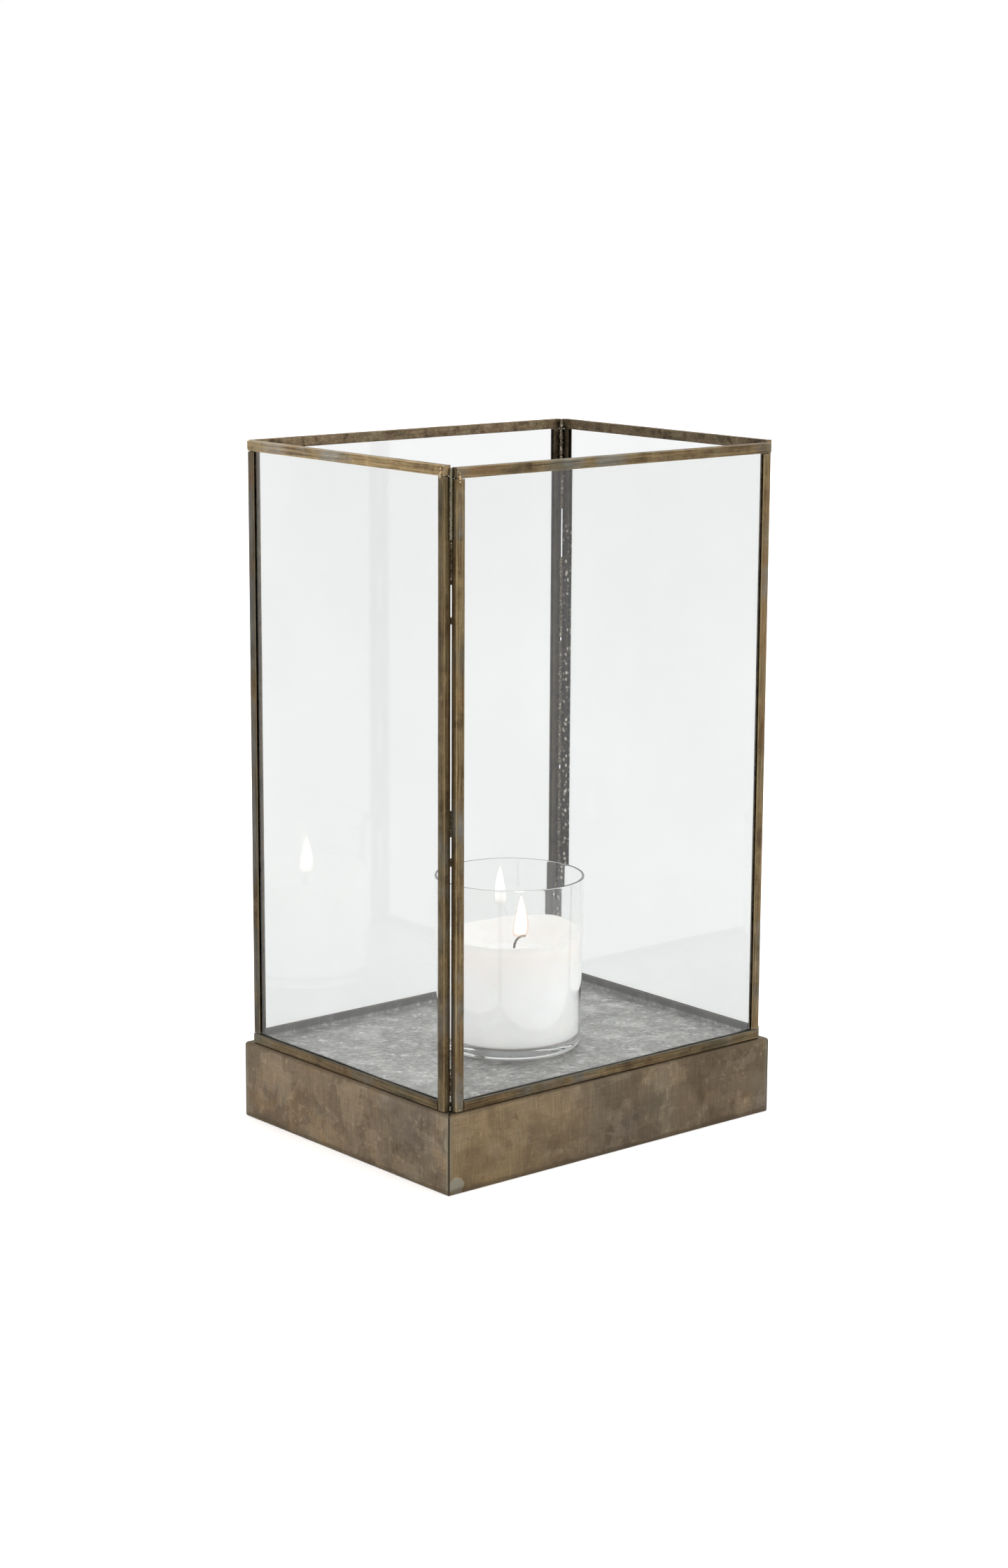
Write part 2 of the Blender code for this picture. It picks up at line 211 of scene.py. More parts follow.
def makeRubbedStreaks():
    inputs = {
        "Vector": ("Vector", None),
        "Length": ("Float", 0.1),
        "Width": ("Float", 0.001),
        "Coverage": ("Float", 0.5),
        "Offset": ("Float", 0.0),
    }
    outputs = {"Mask": "Float", "Height": "Float"}
    tree, entry, leave = newTree("ShaderNodeTree", "rubbedStreaks", inputs, outputs)
    stretch = joinXyz(tree, entry["Length"], entry["Width"], 1.0)
    place = vectorCalc(tree, "DIVIDE", entry["Vector"], stretch)
    streak = noiseAt(tree, vectorCalc(tree, "ADD", place, triple(tree, entry["Offset"])), 5.0, 0.62)
    edge = minus(tree, 0.66, times(tree, entry["Coverage"], 0.32))
    tree.links.new(fade(tree, streak, edge, plus(tree, edge, 0.14)), leave["Mask"])
    tree.links.new(streak, leave["Height"])
    return tree


# edge mask: rubbed wear along edges, also used to paint highlight and shade along the roundings
def makeEdgeWearAndLightMask():
    inputs = {
        "Edge": ("Float", 0.0),
        "Vector": ("Vector", None),
        "Grain Size": ("Float", 0.004),
        "Amount": ("Float", 0.5),
    }
    tree, entry, leave = newTree("ShaderNodeTree", "edgeWearAndLightMask", inputs, {"Mask": "Float"})
    place = vectorCalc(tree, "DIVIDE", entry["Vector"], triple(tree, entry["Grain Size"]))
    broken = times(tree, minus(tree, noiseAt(tree, place, 5.0, 0.6), 0.5), 1.4)
    edge = plus(tree, entry["Edge"], broken)
    low = flip(tree, entry["Amount"])
    tree.links.new(fade(tree, edge, low, plus(tree, low, 0.35)), leave["Mask"])
    return tree


def makeFlecks():
    inputs = {
        "Vector": ("Vector", None),
        "Size": ("Float", 0.001),
        "Amount": ("Float", 0.2),
    }
    tree, entry, leave = newTree("ShaderNodeTree", "flecks", inputs, {"Mask": "Float"})
    place = vectorCalc(tree, "DIVIDE", entry["Vector"], triple(tree, entry["Size"]))
    cells = addNode(tree, "ShaderNodeTexVoronoi", {"Vector": place, "Scale": 1.0, "Randomness": 1.0})
    pick = splitXyz(tree, cells.outputs["Color"])[0]
    chosen = calc(tree, "GREATER_THAN", entry["Amount"], pick)
    spot = flip(tree, fade(tree, cells.outputs["Distance"], 0.18, 0.48))
    tree.links.new(times(tree, chosen, spot), leave["Mask"])
    return tree


agedMetal = makeAgedMetal()
rubbedStreaks = makeRubbedStreaks()
edgeWearAndLightMask = makeEdgeWearAndLightMask()
flecks = makeFlecks()
print("shared finishes ready")


def agedLook(tree, vector, look, bloomAmount):
    sockets = {"Vector": vector, "Patch Size": look["patchSize"], "Bloom Amount": bloomAmount}
    for key in ("light", "mid", "dark", "bloom"):
        sockets[key.title()] = look[key]
    return useGroup(tree, agedMetal, sockets)


def shiftedNoise(tree, vector, offset, detail, roughness, scale, distortion=0.0):
    return noiseAt(tree, vectorCalc(tree, "ADD", vector, offset), detail, roughness, scale, distortion)


def roughen(tree, shader, patches, low, high):
    plug(tree, mixValue(tree, fade(tree, patches, 0.35, 0.65), low, high), shader.inputs["Roughness"])


def grain(tree, mask, face, low, high):
    shade = mixColour(tree, mask, (low, low, low, 1), (high, high, high, 1))
    return mixColour(tree, 1.0, face, shade, "MULTIPLY")


def brighten(tree, face, lightAndTone):
    return mixColour(tree, 1.0, face, triple(tree, lightAndTone), "MULTIPLY")


def streaks(tree, vector, length, width, coverage, offset=0.0):
    sockets = {"Vector": vector, "Length": length, "Width": width, "Coverage": coverage, "Offset": offset}
    return useGroup(tree, rubbedStreaks, sockets)


def tint(tree, mask, share, face, colour):
    return mixColour(tree, times(tree, mask, share), face, colour)


# materials

cameLook = {
    "light": (0.300, 0.215, 0.105, 1),
    "mid": (0.165, 0.115, 0.056, 1),
    "dark": (0.085, 0.054, 0.026, 1),
    "bloom": (0.165, 0.150, 0.090, 1),
    "rust": (0.190, 0.105, 0.045, 1),
    "umber": (0.032, 0.020, 0.010, 1),
    "steel": (0.190, 0.200, 0.190, 1),
    "goldWearAndHighlight": (0.360, 0.265, 0.130, 1),
    "tinned": (0.280, 0.225, 0.145, 1),
    "glint": (0.480, 0.420, 0.300, 1),
    "splash": (0.780, 0.730, 0.640, 1),
    "splashTop": (0.235, 0.255),
    "putty": (0.120, 0.150, 0.160, 1),
    "patchSize": 0.016,
    "relief": 0.00012,
}
insideLook = {
    "light": (0.280, 0.215, 0.140, 1),
    "mid": (0.135, 0.098, 0.058, 1),
    "dark": (0.055, 0.038, 0.022, 1),
    "bloom": (0.165, 0.150, 0.090, 1),
    "patchSize": 0.006,
}


def cameBrass():
    look = cameLook
    material, tree, shader = newMaterial("came_patina")
    lay = attributeVector(tree, "lay")
    edgeWearAndLight, inner, seam = splitXyz(tree, attributeVector(tree, "finish"))
    lightAndTone, greyness, extra = splitXyz(tree, attributeVector(tree, "tone"))
    along, girth = splitXyz(tree, lay)[:2]
    spattered = fade(tree, extra, 1.4, 1.6)
    puttied = minus(tree, fade(tree, extra, 0.4, 0.6), spattered)
    aged = agedLook(tree, lay, look, 0.5)
    rusty = shiftedNoise(tree, lay, (0.0, 0.0, 3.3), 3.0, 0.6, 14.0)
    face = tint(tree, fade(tree, rusty, 0.5, 0.66), 0.6, aged["Color"], look["rust"])
    pale = streaks(tree, lay, 0.06, 0.0010, 0.56)
    black = streaks(tree, lay, 0.05, 0.0009, 0.40, 7.1)
    fine = streaks(tree, lay, 0.014, 0.00030, 0.5, 3.7)
    face = tint(tree, pale["Mask"], 0.6, face, look["light"])
    cold = shiftedNoise(tree, lay, (0.4, 0.0, 6.1), 4.0, 0.6, 18.0)
    cold = fade(tree, plus(tree, cold, times(tree, greyness, 0.3)), 0.56, 0.72)
    face = tint(tree, cold, 0.65, face, look["steel"])
    face = tint(tree, black["Mask"], 0.6, face, look["umber"])
    # painted highlight: rounded edges and lips turn lighter gold, partly rubbed brass and partly a painted
    # highlight along the roundings
    sockets = {"Edge": edgeWearAndLight, "Vector": lay, "Grain Size": 0.009, "Amount": 0.5}
    edge = useGroup(tree, edgeWearAndLightMask, sockets)
    face = tint(tree, edge["Mask"], 0.6, face, look["goldWearAndHighlight"])
    # painted shadow: a dark line along the foot fold of the bottom rails, where they sit over the plinth's
    # ledge
    fold = times(tree, edgeWearAndLight, fade(tree, girth, 0.0010, 0.0018))
    face = tint(tree, times(tree, fold, puttied), 0.8, face, insideLook["dark"])
    inside = agedLook(tree, lay, insideLook, 0.3)
    backs = tint(tree, black["Mask"], 0.5, inside["Color"], insideLook["dark"])
    # solder ran down one far strip
    below = flip(tree, fade(tree, along, *look["splashTop"]))
    spatter = times(tree, times(tree, spattered, inner), below)
    drops = useGroup(tree, flecks, {"Vector": lay, "Size": 0.0027, "Amount": 0.8})
    backs = tint(tree, spatter, 0.65, backs, look["umber"])
    face = mixColour(tree, inner, face, backs)
    patchy = fade(tree, plus(tree, seam, times(tree, aged["Patches"], 0.8)), 1.15, 1.4)
    face = tint(tree, patchy, 0.3, face, look["tinned"])
    dots = useGroup(tree, flecks, {"Vector": lay, "Size": 0.0011, "Amount": 0.07})
    glints = times(tree, dots["Mask"], plus(tree, seam, 0.3))
    face = tint(tree, glints, 0.7, face, look["glint"])
    lip = flip(tree, fade(tree, girth, 0.0002, 0.0006))
    face = tint(tree, times(tree, lip, puttied), 0.8, face, look["putty"])
    face = grain(tree, fine["Mask"], face, 0.80, 1.16)
    # painted light and shade: each strip made lighter or darker as a whole, partly its own tone
    face = brighten(tree, face, lightAndTone)
    face = tint(tree, times(tree, spatter, drops["Mask"]), 0.9, face, look["splash"])
    plug(tree, face, shader.inputs["Base Color"])
    rough = mixValue(tree, fade(tree, aged["Patches"], 0.35, 0.65), 0.52, 0.38)
    plug(tree, mixValue(tree, edge["Mask"], rough, 0.34), shader.inputs["Roughness"])
    shader.inputs["Metallic"].default_value = 0.88
    height = plus(tree, pale["Height"], times(tree, fine["Height"], 0.5))
    height = plus(tree, height, times(tree, aged["Height"], 0.3))
    bump(tree, shader, height, look["relief"])
    return material


plinthLook = {
    "light": (0.270, 0.203, 0.122, 1),
    "mid": (0.205, 0.152, 0.094, 1),
    "dark": (0.142, 0.103, 0.064, 1),
    "bloom": (0.215, 0.190, 0.138, 1),
    "violet": (0.168, 0.136, 0.110, 1),
    "orange": (0.270, 0.170, 0.082, 1),
    "sand": (0.330, 0.265, 0.180, 1),
    "ochre": (0.340, 0.240, 0.120, 1),
    "ochreReach": (0.02, 0.11),
    "paintedShadeAndScuff": (0.085, 0.062, 0.038, 1),
    "stainDark": (0.080, 0.056, 0.034, 1),
    "seamLine": (0.030, 0.022, 0.014, 1),
    "tinned": (0.225, 0.215, 0.160, 1),
    "solder": (0.265, 0.255, 0.205, 1),
    "patchSize": 0.022,
    "stainSize": 0.040,
    "smearPlace": (0.0048, 0.1088, 5.3),
    "smearRadius": 0.0042,
    "smearRagged": 0.005,
    "relief": 0.00010,
}


def plinthBrass():
    look = plinthLook
    material, tree, shader = newMaterial("plinth_patina")
    lay = attributeVector(tree, "lay")
    edgeWearAndLight, inner, seam = splitXyz(tree, attributeVector(tree, "finish"))
    lightAndTone, ochre = splitXyz(tree, attributeVector(tree, "tone"))[:2]
    distance = splitXyz(tree, lay)[0]
    aged = agedLook(tree, lay, look, 0.5)
    warm = shiftedNoise(tree, lay, (0.3, 0.0, 1.9), 6.0, 0.68, 24.0, 0.5)
    cool = shiftedNoise(tree, lay, (0.0, 0.2, 5.1), 5.0, 0.6, 19.0)
    face = tint(tree, fade(tree, cool, 0.48, 0.66), 0.7, aged["Color"], look["violet"])
    face = tint(tree, fade(tree, warm, 0.52, 0.66), 0.6, face, look["orange"])
    # dried stains end in a soft step
    stain = shiftedNoise(tree, lay, (0.7, 0.4, 2.6), 4.0, 0.5, 1.0 / look["stainSize"])
    face = tint(tree, fade(tree, stain, 0.50, 0.51), 0.30, face, look["stainDark"])
    pool = shiftedNoise(tree, lay, (0.1, 0.7, 9.4), 6.0, 0.6, 11.0)
    face = tint(tree, fade(tree, pool, 0.50, 0.51), 0.34, face, look["stainDark"])
    ochre = times(tree, ochre, flip(tree, fade(tree, distance, *look["ochreReach"])))
    face = tint(tree, times(tree, ochre, aged["Patches"]), 1.0, face, look["ochre"])
    spill = shiftedNoise(tree, lay, (0.2, 0.9, 4.6), 5.0, 0.55, 1.6 / look["stainSize"])
    face = tint(tree, fade(tree, spill, 0.56, 0.57), 0.2, face, look["sand"])
    scuff = shiftedNoise(tree, lay, (0.5, 0.3, 8.2), 8.0, 0.75, 130.0)
    face = tint(tree, fade(tree, scuff, 0.58, 0.64), 0.4, face, look["sand"])
    worn = flip(tree, fade(tree, scuff, 0.36, 0.42))
    face = tint(tree, worn, 0.5, face, look["paintedShadeAndScuff"])
    across = streaks(tree, lay, 0.0005, 0.012, 0.5, 2.3)
    along = streaks(tree, lay, 0.014, 0.0004, 0.5)
    face = grain(tree, along["Mask"], face, 0.93, 1.08)
    face = grain(tree, across["Mask"], face, 0.88, 1.12)
    dots = useGroup(tree, flecks, {"Vector": lay, "Size": 0.0022, "Amount": 0.04})
    face = tint(tree, dots["Mask"], 0.2, face, look["sand"])
    # a flat smear of solder beside one corner
    sockets = {"Vector": lay, "Scale": 160.0, "Detail": 2.0}
    warp = addNode(tree, "ShaderNodeTexNoise", sockets).outputs["Color"]
    ragged = look["smearRagged"]
    spot = vectorCalc(tree, "ADD", lay, vectorCalc(tree, "MULTIPLY", warp, (ragged, ragged, 0.0)))
    centre = [place + push for place, push in zip(look["smearPlace"], (ragged / 2, ragged / 2, 0.0))]
    apart = addNode(tree, "ShaderNodeVectorMath", {0: spot, 1: centre}, operation="DISTANCE")
    away = apart.outputs["Value"]
    reach = look["smearRadius"]
    smear = flip(tree, fade(tree, away, reach * 0.94, reach))
    face = tint(tree, smear, 0.8, face, look["solder"])
    rim = calc(tree, "ABSOLUTE", minus(tree, away, reach))
    face = tint(tree, flip(tree, fade(tree, rim, 0.0, 0.0006)), 0.5, face, look["sand"])
    bands = fade(tree, plus(tree, seam, times(tree, across["Height"], 0.9)), 0.7, 1.2)
    face = tint(tree, bands, 0.35, face, look["tinned"])
    face = tint(tree, fade(tree, seam, 0.80, 0.88), 0.85, face, look["seamLine"])
    # painted shade: the top bend, the foot fold and the ledge tip darker along their roundings, and the
    # inner faces of the sheet darker
    edge = useGroup(tree, edgeWearAndLightMask, {"Edge": edgeWearAndLight, "Vector": lay, "Grain Size": 0.02, "Amount": 0.55})
    face = tint(tree, edge["Mask"], 0.55, face, look["paintedShadeAndScuff"])
    face = tint(tree, inner, 0.6, face, look["paintedShadeAndScuff"])
    # painted light and shade: the whole plate lighter or darker by its side
    plug(tree, brighten(tree, face, lightAndTone), shader.inputs["Base Color"])
    roughen(tree, shader, aged["Patches"], 0.6, 0.46)
    shader.inputs["Metallic"].default_value = 0.8
    height = plus(tree, along["Height"], across["Height"])
    height = mixValue(tree, 0.6, height, aged["Height"])
    height = plus(tree, height, smear)
    bump(tree, shader, height, look["relief"])
    return material


zincLook = {
    "light": (0.450, 0.447, 0.428, 1),
    "mid": (0.325, 0.322, 0.306, 1),
    "dark": (0.205, 0.204, 0.194, 1),
    "bloom": (0.720, 0.715, 0.695, 1),
    "wall": (0.036, 0.035, 0.031, 1),
    "wallFoot": 0.0012,
    "wallFull": 0.0030,
    "patchSize": 0.009,
    "relief": 0.00008,
}


def trayZinc(floorZ):
    look = zincLook
    material, tree, shader = newMaterial("tray_mottled")
    place = objectCoords(tree)
    slant = objectCoords(tree, turn=math.radians(40))
    x, y, z = splitXyz(tree, place)
    aged = agedLook(tree, place, look, 0.5)
    grit = noiseAt(tree, place, 5.0, 0.7, scale=420.0)
    cloud = shiftedNoise(tree, place, (0.3, 0.1, 0.0), 4.0, 0.6, 14.0)
    face = tint(tree, fade(tree, cloud, 0.5, 0.68), 0.45, aged["Color"], look["dark"])
    # painted shade: the tray floor darker towards the back-left corner, under the rails there
    corner = minus(tree, times(tree, y, 0.8), times(tree, x, 0.6))
    face = tint(tree, fade(tree, corner, 0.05, 0.13), 0.55, face, look["dark"])
    wisp = streaks(tree, slant, 0.011, 0.0050, 0.44)
    wisps = times(tree, wisp["Mask"], fade(tree, grit, 0.42, 0.58))
    face = tint(tree, wisps, 0.8, face, look["bloom"])
    smear = streaks(tree, slant, 0.0045, 0.0014, 0.46, 4.4)
    face = tint(tree, smear["Mask"], 0.3, face, look["bloom"])
    dots = useGroup(tree, flecks, {"Vector": place, "Size": 0.0018, "Amount": 0.12})
    face = tint(tree, dots["Mask"], 0.4, face, look["bloom"])
    flake = shiftedNoise(tree, place, (0.0, 0.6, 0.2), 8.0, 0.7, 100.0)
    face = tint(tree, fade(tree, flake, 0.56, 0.61), 0.4, face, look["bloom"])
    face = grain(tree, fade(tree, grit, 0.4, 0.6), face, 0.80, 1.12)
    # painted shade: the tray's walls much darker than its floor
    wall = fade(tree, z, floorZ + look["wallFoot"], floorZ + look["wallFull"])
    face = tint(tree, wall, 0.8, face, look["wall"])
    plug(tree, face, shader.inputs["Base Color"])
    roughen(tree, shader, aged["Patches"], 0.42, 0.6)
    shader.inputs["Metallic"].default_value = 0.7
    height = plus(tree, aged["Height"], times(tree, smear["Height"], 0.5))
    bump(tree, shader, height, look["relief"])
    return material


insideSolder = {
    "light": (0.700, 0.650, 0.540, 1),
    "mid": (0.110, 0.088, 0.060, 1),
    "dark": (0.045, 0.035, 0.024, 1),
    "bloom": (0.160, 0.120, 0.070, 1),
    "patchSize": 0.005,
    "dots": 0.14,
    "relief": 0.0002,
}
jointSolder = {
    "light": (0.800, 0.640, 0.400, 1),
    "mid": (0.560, 0.410, 0.230, 1),
    "dark": (0.260, 0.180, 0.095, 1),
    "bloom": (0.420, 0.300, 0.150, 1),
    "patchSize": 0.005,
    "dots": 0.20,
    "relief": 0.0001,
}
notchSolder = {
    "light": (0.260, 0.235, 0.165, 1),
    "mid": (0.190, 0.170, 0.120, 1),
    "dark": (0.130, 0.110, 0.072, 1),
    "bloom": (0.200, 0.195, 0.150, 1),
    "patchSize": 0.005,
    "dots": 0.04,
    "relief": 0.0001,
}


def solderMetal(name, look):
    material, tree, shader = newMaterial(name)
    place = objectCoords(tree)
    aged = agedLook(tree, place, look, 0.7)
    dots = useGroup(tree, flecks, {"Vector": place, "Size": 0.0008, "Amount": look["dots"]})
    plug(tree, mixColour(tree, dots["Mask"], aged["Color"], look["light"]), shader.inputs["Base Color"])
    plug(tree, mixValue(tree, fade(tree, aged["Patches"], 0.4, 0.6), 0.5, 0.3), shader.inputs["Roughness"])
    shader.inputs["Metallic"].default_value = 0.9
    bump(tree, shader, aged["Height"], look["relief"])
    return material


paneGlass = {
    "clear": (0.905, 0.914, 0.910, 1),
    "shade": (0.885, 0.897, 0.891, 1),
    "ior": 1.5,
    "waveSize": 0.08,
    "ripple": 0.000008,
}
cupGlass = {
    "clear": (0.975, 0.978, 0.976, 1),
    "shade": (0.955, 0.960, 0.958, 1),
    "ior": 1.5,
    "waveSize": 0.04,
    "ripple": 0.000008,
}


def clearGlass(name, look):
    material, tree, shader = newMaterial(name)
    place = objectCoords(tree)
    wave = noiseAt(tree, place, 2.0, 0.5, scale=1.0 / look["waveSize"])
    specks = useGroup(tree, flecks, {"Vector": place, "Size": 0.0025, "Amount": 0.012})
    tone = mixColour(tree, fade(tree, wave, 0.35, 0.65), look["clear"], look["shade"])
    plug(tree, tint(tree, specks["Mask"], 0.25, tone, look["shade"]), shader.inputs["Base Color"])
    shader.inputs["Roughness"].default_value = 0.0
    shader.inputs["IOR"].default_value = look["ior"]
    shader.inputs["Transmission Weight"].default_value = 1.0
    bump(tree, shader, wave, look["ripple"])
    return material


waxLook = {
    "body": (0.945, 0.935, 0.925, 1),
    "mottle": (0.905, 0.890, 0.875, 1),
    "glow": (0.62, 0.51, 0.46, 1),
    "deep": (0.85, 0.85, 0.87, 1),
    "topGlow": (0.60, 0.53, 0.49, 1),
    "crest": (0.10, 0.06, 0.04, 1),
    "glowStrength": 0.30,
    "glowReach": 0.034,
    "crestHeight": 0.0030,
    "crestDrop": 0.0005,
    "crestShare": 0.5,
    "softness": 0.006,
}


def candleWax(centre, edgeHeight, edgeRadius, poolRadius):
    material, tree, shader = newMaterial("candle_wax")
    place = objectCoords(tree, centre=(centre.x, centre.y, 0.0))
    x, y, z = splitXyz(tree, place)
    cloud = noiseAt(tree, place, 5.0, 0.6, scale=90.0)
    face = mixColour(tree, fade(tree, cloud, 0.4, 0.7), waxLook["body"], waxLook["mottle"])
    plug(tree, face, shader.inputs["Base Color"])
    squares = plus(tree, times(tree, x, x), times(tree, y, y))
    radius = calc(tree, "POWER", squares, 0.5)
    solid = fade(tree, radius, poolRadius * 0.9, poolRadius * 1.15)
    plug(tree, mixValue(tree, solid, 0.08, 0.42), shader.inputs["Roughness"])
    # painted glow: the wax's emission stands in for the flame's light on it, warm at the top and rim, paler
    # lower down, dimmed in a ring at the crest
    lit = fade(tree, z, edgeHeight - waxLook["glowReach"], edgeHeight)
    glow = mixColour(tree, lit, waxLook["deep"], waxLook["glow"])
    side = fade(tree, radius, edgeRadius * 0.93, edgeRadius * 0.975)
    glow = mixColour(tree, side, waxLook["topGlow"], glow)
    crestTop = edgeHeight - waxLook["crestDrop"]
    crest = times(tree, side, fade(tree, z, crestTop - waxLook["crestHeight"], crestTop))
    glow = tint(tree, crest, waxLook["crestShare"], glow, waxLook["crest"])
    plug(tree, glow, shader.inputs["Emission Color"])
    shader.inputs["Emission Strength"].default_value = waxLook["glowStrength"]
    shader.inputs["Subsurface Weight"].default_value = 0.5
    shader.inputs["Subsurface Radius"].default_value = (1.0, 0.55, 0.4)
    shader.inputs["Subsurface Scale"].default_value = waxLook["softness"]
    bump(tree, shader, times(tree, cloud, solid), 0.0002)
    return material


wickLook = {
    "light": (0.34, 0.26, 0.20, 1),
    "mid": (0.120, 0.085, 0.062, 1),
    "dark": (0.030, 0.022, 0.018, 1),
    "bloom": (0.030, 0.022, 0.018, 1),
    "patchSize": 0.003,
    "thread": 0.0006,
}


def charredWick():
    material, tree, shader = newMaterial("wick_braid_char")
    place = objectCoords(tree)
    aged = agedLook(tree, place, wickLook, 0.4)
    thread = {"Vector": place, "Length": wickLook["thread"], "Width": wickLook["thread"]}
    thread = useGroup(tree, rubbedStreaks, thread)
    face = tint(tree, thread["Mask"], 0.5, aged["Color"], wickLook["light"])
    plug(tree, face, shader.inputs["Base Color"])
    shader.inputs["Roughness"].default_value = 0.85
    bump(tree, shader, thread["Height"], 0.0003)
    return material


steelLook = {
    "light": (0.62, 0.62, 0.62, 1),
    "mid": (0.50, 0.50, 0.50, 1),
    "dark": (0.36, 0.36, 0.36, 1),
    "bloom": (0.55, 0.53, 0.50, 1),
    "patchSize": 0.006,
}


def pressedSteel():
    material, tree, shader = newMaterial("tab_steel")
    aged = agedLook(tree, objectCoords(tree), steelLook, 0.3)
    plug(tree, aged["Color"], shader.inputs["Base Color"])
    plug(tree, mixValue(tree, aged["Patches"], 0.25, 0.5), shader.inputs["Roughness"])
    shader.inputs["Metallic"].default_value = 1.0
    bump(tree, shader, aged["Height"], 0.0001)
    return material


flameLook = {
    "core": (1.0, 0.93, 0.82, 1),
    "foot": (1.0, 0.70, 0.50, 1),
    "veil": (1.0, 0.60, 0.38, 1),
    "coreStrength": 7.0,
    "veilStrength": 1.1,
    "veilAlpha": 0.30,
}


def flameLight(name, low, high, veil):
    material, tree, shader = newMaterial(name)
    z = splitXyz(tree, objectCoords(tree))[2]
    lick = noiseAt(tree, objectCoords(tree), 2.0, 0.5, scale=220.0)
    rise = fade(tree, plus(tree, z, times(tree, lick, 0.001)), low, high)
    shader.inputs["Base Color"].default_value = (0.0, 0.0, 0.0, 1)
    shader.inputs["Specular IOR Level"].default_value = 0.0
    shader.inputs["Roughness"].default_value = 1.0
    tip = flameLook["veil"] if veil else flameLook["core"]
    plug(tree, mixColour(tree, rise, flameLook["foot"], tip), shader.inputs["Emission Color"])
    if veil:
        shader.inputs["Emission Strength"].default_value = flameLook["veilStrength"]
        plug(tree, times(tree, lick, flameLook["veilAlpha"] * 2.0), shader.inputs["Alpha"])
    else:
        shader.inputs["Emission Strength"].default_value = flameLook["coreStrength"]
        plug(tree, fade(tree, z, low - 0.0005, low + 0.004), shader.inputs["Alpha"])
    return material


# mesh helpers

def keep(name, mesh, body, nodes=(), material=None):
    piece = bpy.data.objects.new(name, mesh)
    scene.collection.objects.link(piece)
    mesh.name = name
    if material:
        mesh.materials.clear()
        mesh.materials.append(material)
    settle(piece, body, nodes)
    return piece


def settle(piece, body, nodes=()):
    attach(piece, body)
    if nodes:
        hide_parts(*nodes)


def meshFrom(bm, name, sharp=40.0):
    mesh = bpy.data.meshes.new(name)
    bmesh.ops.recalc_face_normals(bm, faces=bm.faces)
    bm.to_mesh(mesh)
    bm.free()
    mesh.shade_smooth()
    mesh.set_sharp_from_angle(angle=math.radians(sharp))
    return mesh


def grow(name, tree, values, start=None):
    piece = bpy.data.objects.new(name, start or bpy.data.meshes.new(name))
    scene.collection.objects.link(piece)
    modifier = piece.modifiers.new("grow", "NODES")
    modifier.node_group = tree
    for item in tree.interface.items_tree:
        if item.in_out == "INPUT" and item.name in values:
            modifier[item.identifier] = values[item.name]
    evaluated = piece.evaluated_get(bpy.context.evaluated_depsgraph_get())
    mesh = bpy.data.meshes.new_from_object(evaluated)
    bpy.data.objects.remove(piece)
    return mesh


def arc(centre, radius, start, end, steps):
    angles = [math.radians(start + (end - start) * i / steps) for i in range(steps + 1)]
    return [(centre[0] + radius * math.cos(a), centre[1] + radius * math.sin(a)) for a in angles]


def lathe(name, profile, centre, steps, sharp=40.0):
    bm = bmesh.new()
    rings = []
    for radius, height in profile:
        count = steps if radius > 1e-6 else 1
        ring = []
        for i in range(count):
            angle = 2 * math.pi * i / steps
            ring.append(bm.verts.new((radius * math.cos(angle), radius * math.sin(angle), height)))
        rings.append(ring)
    for lower, upper in zip(rings, rings[1:]):
        for i in range(steps):
            corners = [lower[i % len(lower)], lower[(i + 1) % len(lower)]]
            corners += [upper[(i + 1) % len(upper)], upper[i % len(upper)]]
            corners = list(dict.fromkeys(corners))
            if len(corners) > 2:
                bm.faces.new(corners)
    bmesh.ops.translate(bm, vec=centre, verts=bm.verts)
    return meshFrom(bm, name, sharp)


def namedValue(tree, name, kind):
    return addNode(tree, "GeometryNodeInputNamedAttribute", {"Name": name}, data_type=kind).outputs[0]


def finishShape(tree, shape, material):
    shape = addNode(tree, "GeometryNodeRealizeInstances", {"Geometry": shape}).outputs[0]
    return addNode(tree, "GeometryNodeSetMaterial", {"Geometry": shape, "Material": material}).outputs[0]


# strips folded from sheet: a section swept along its length, with square or mitred ends

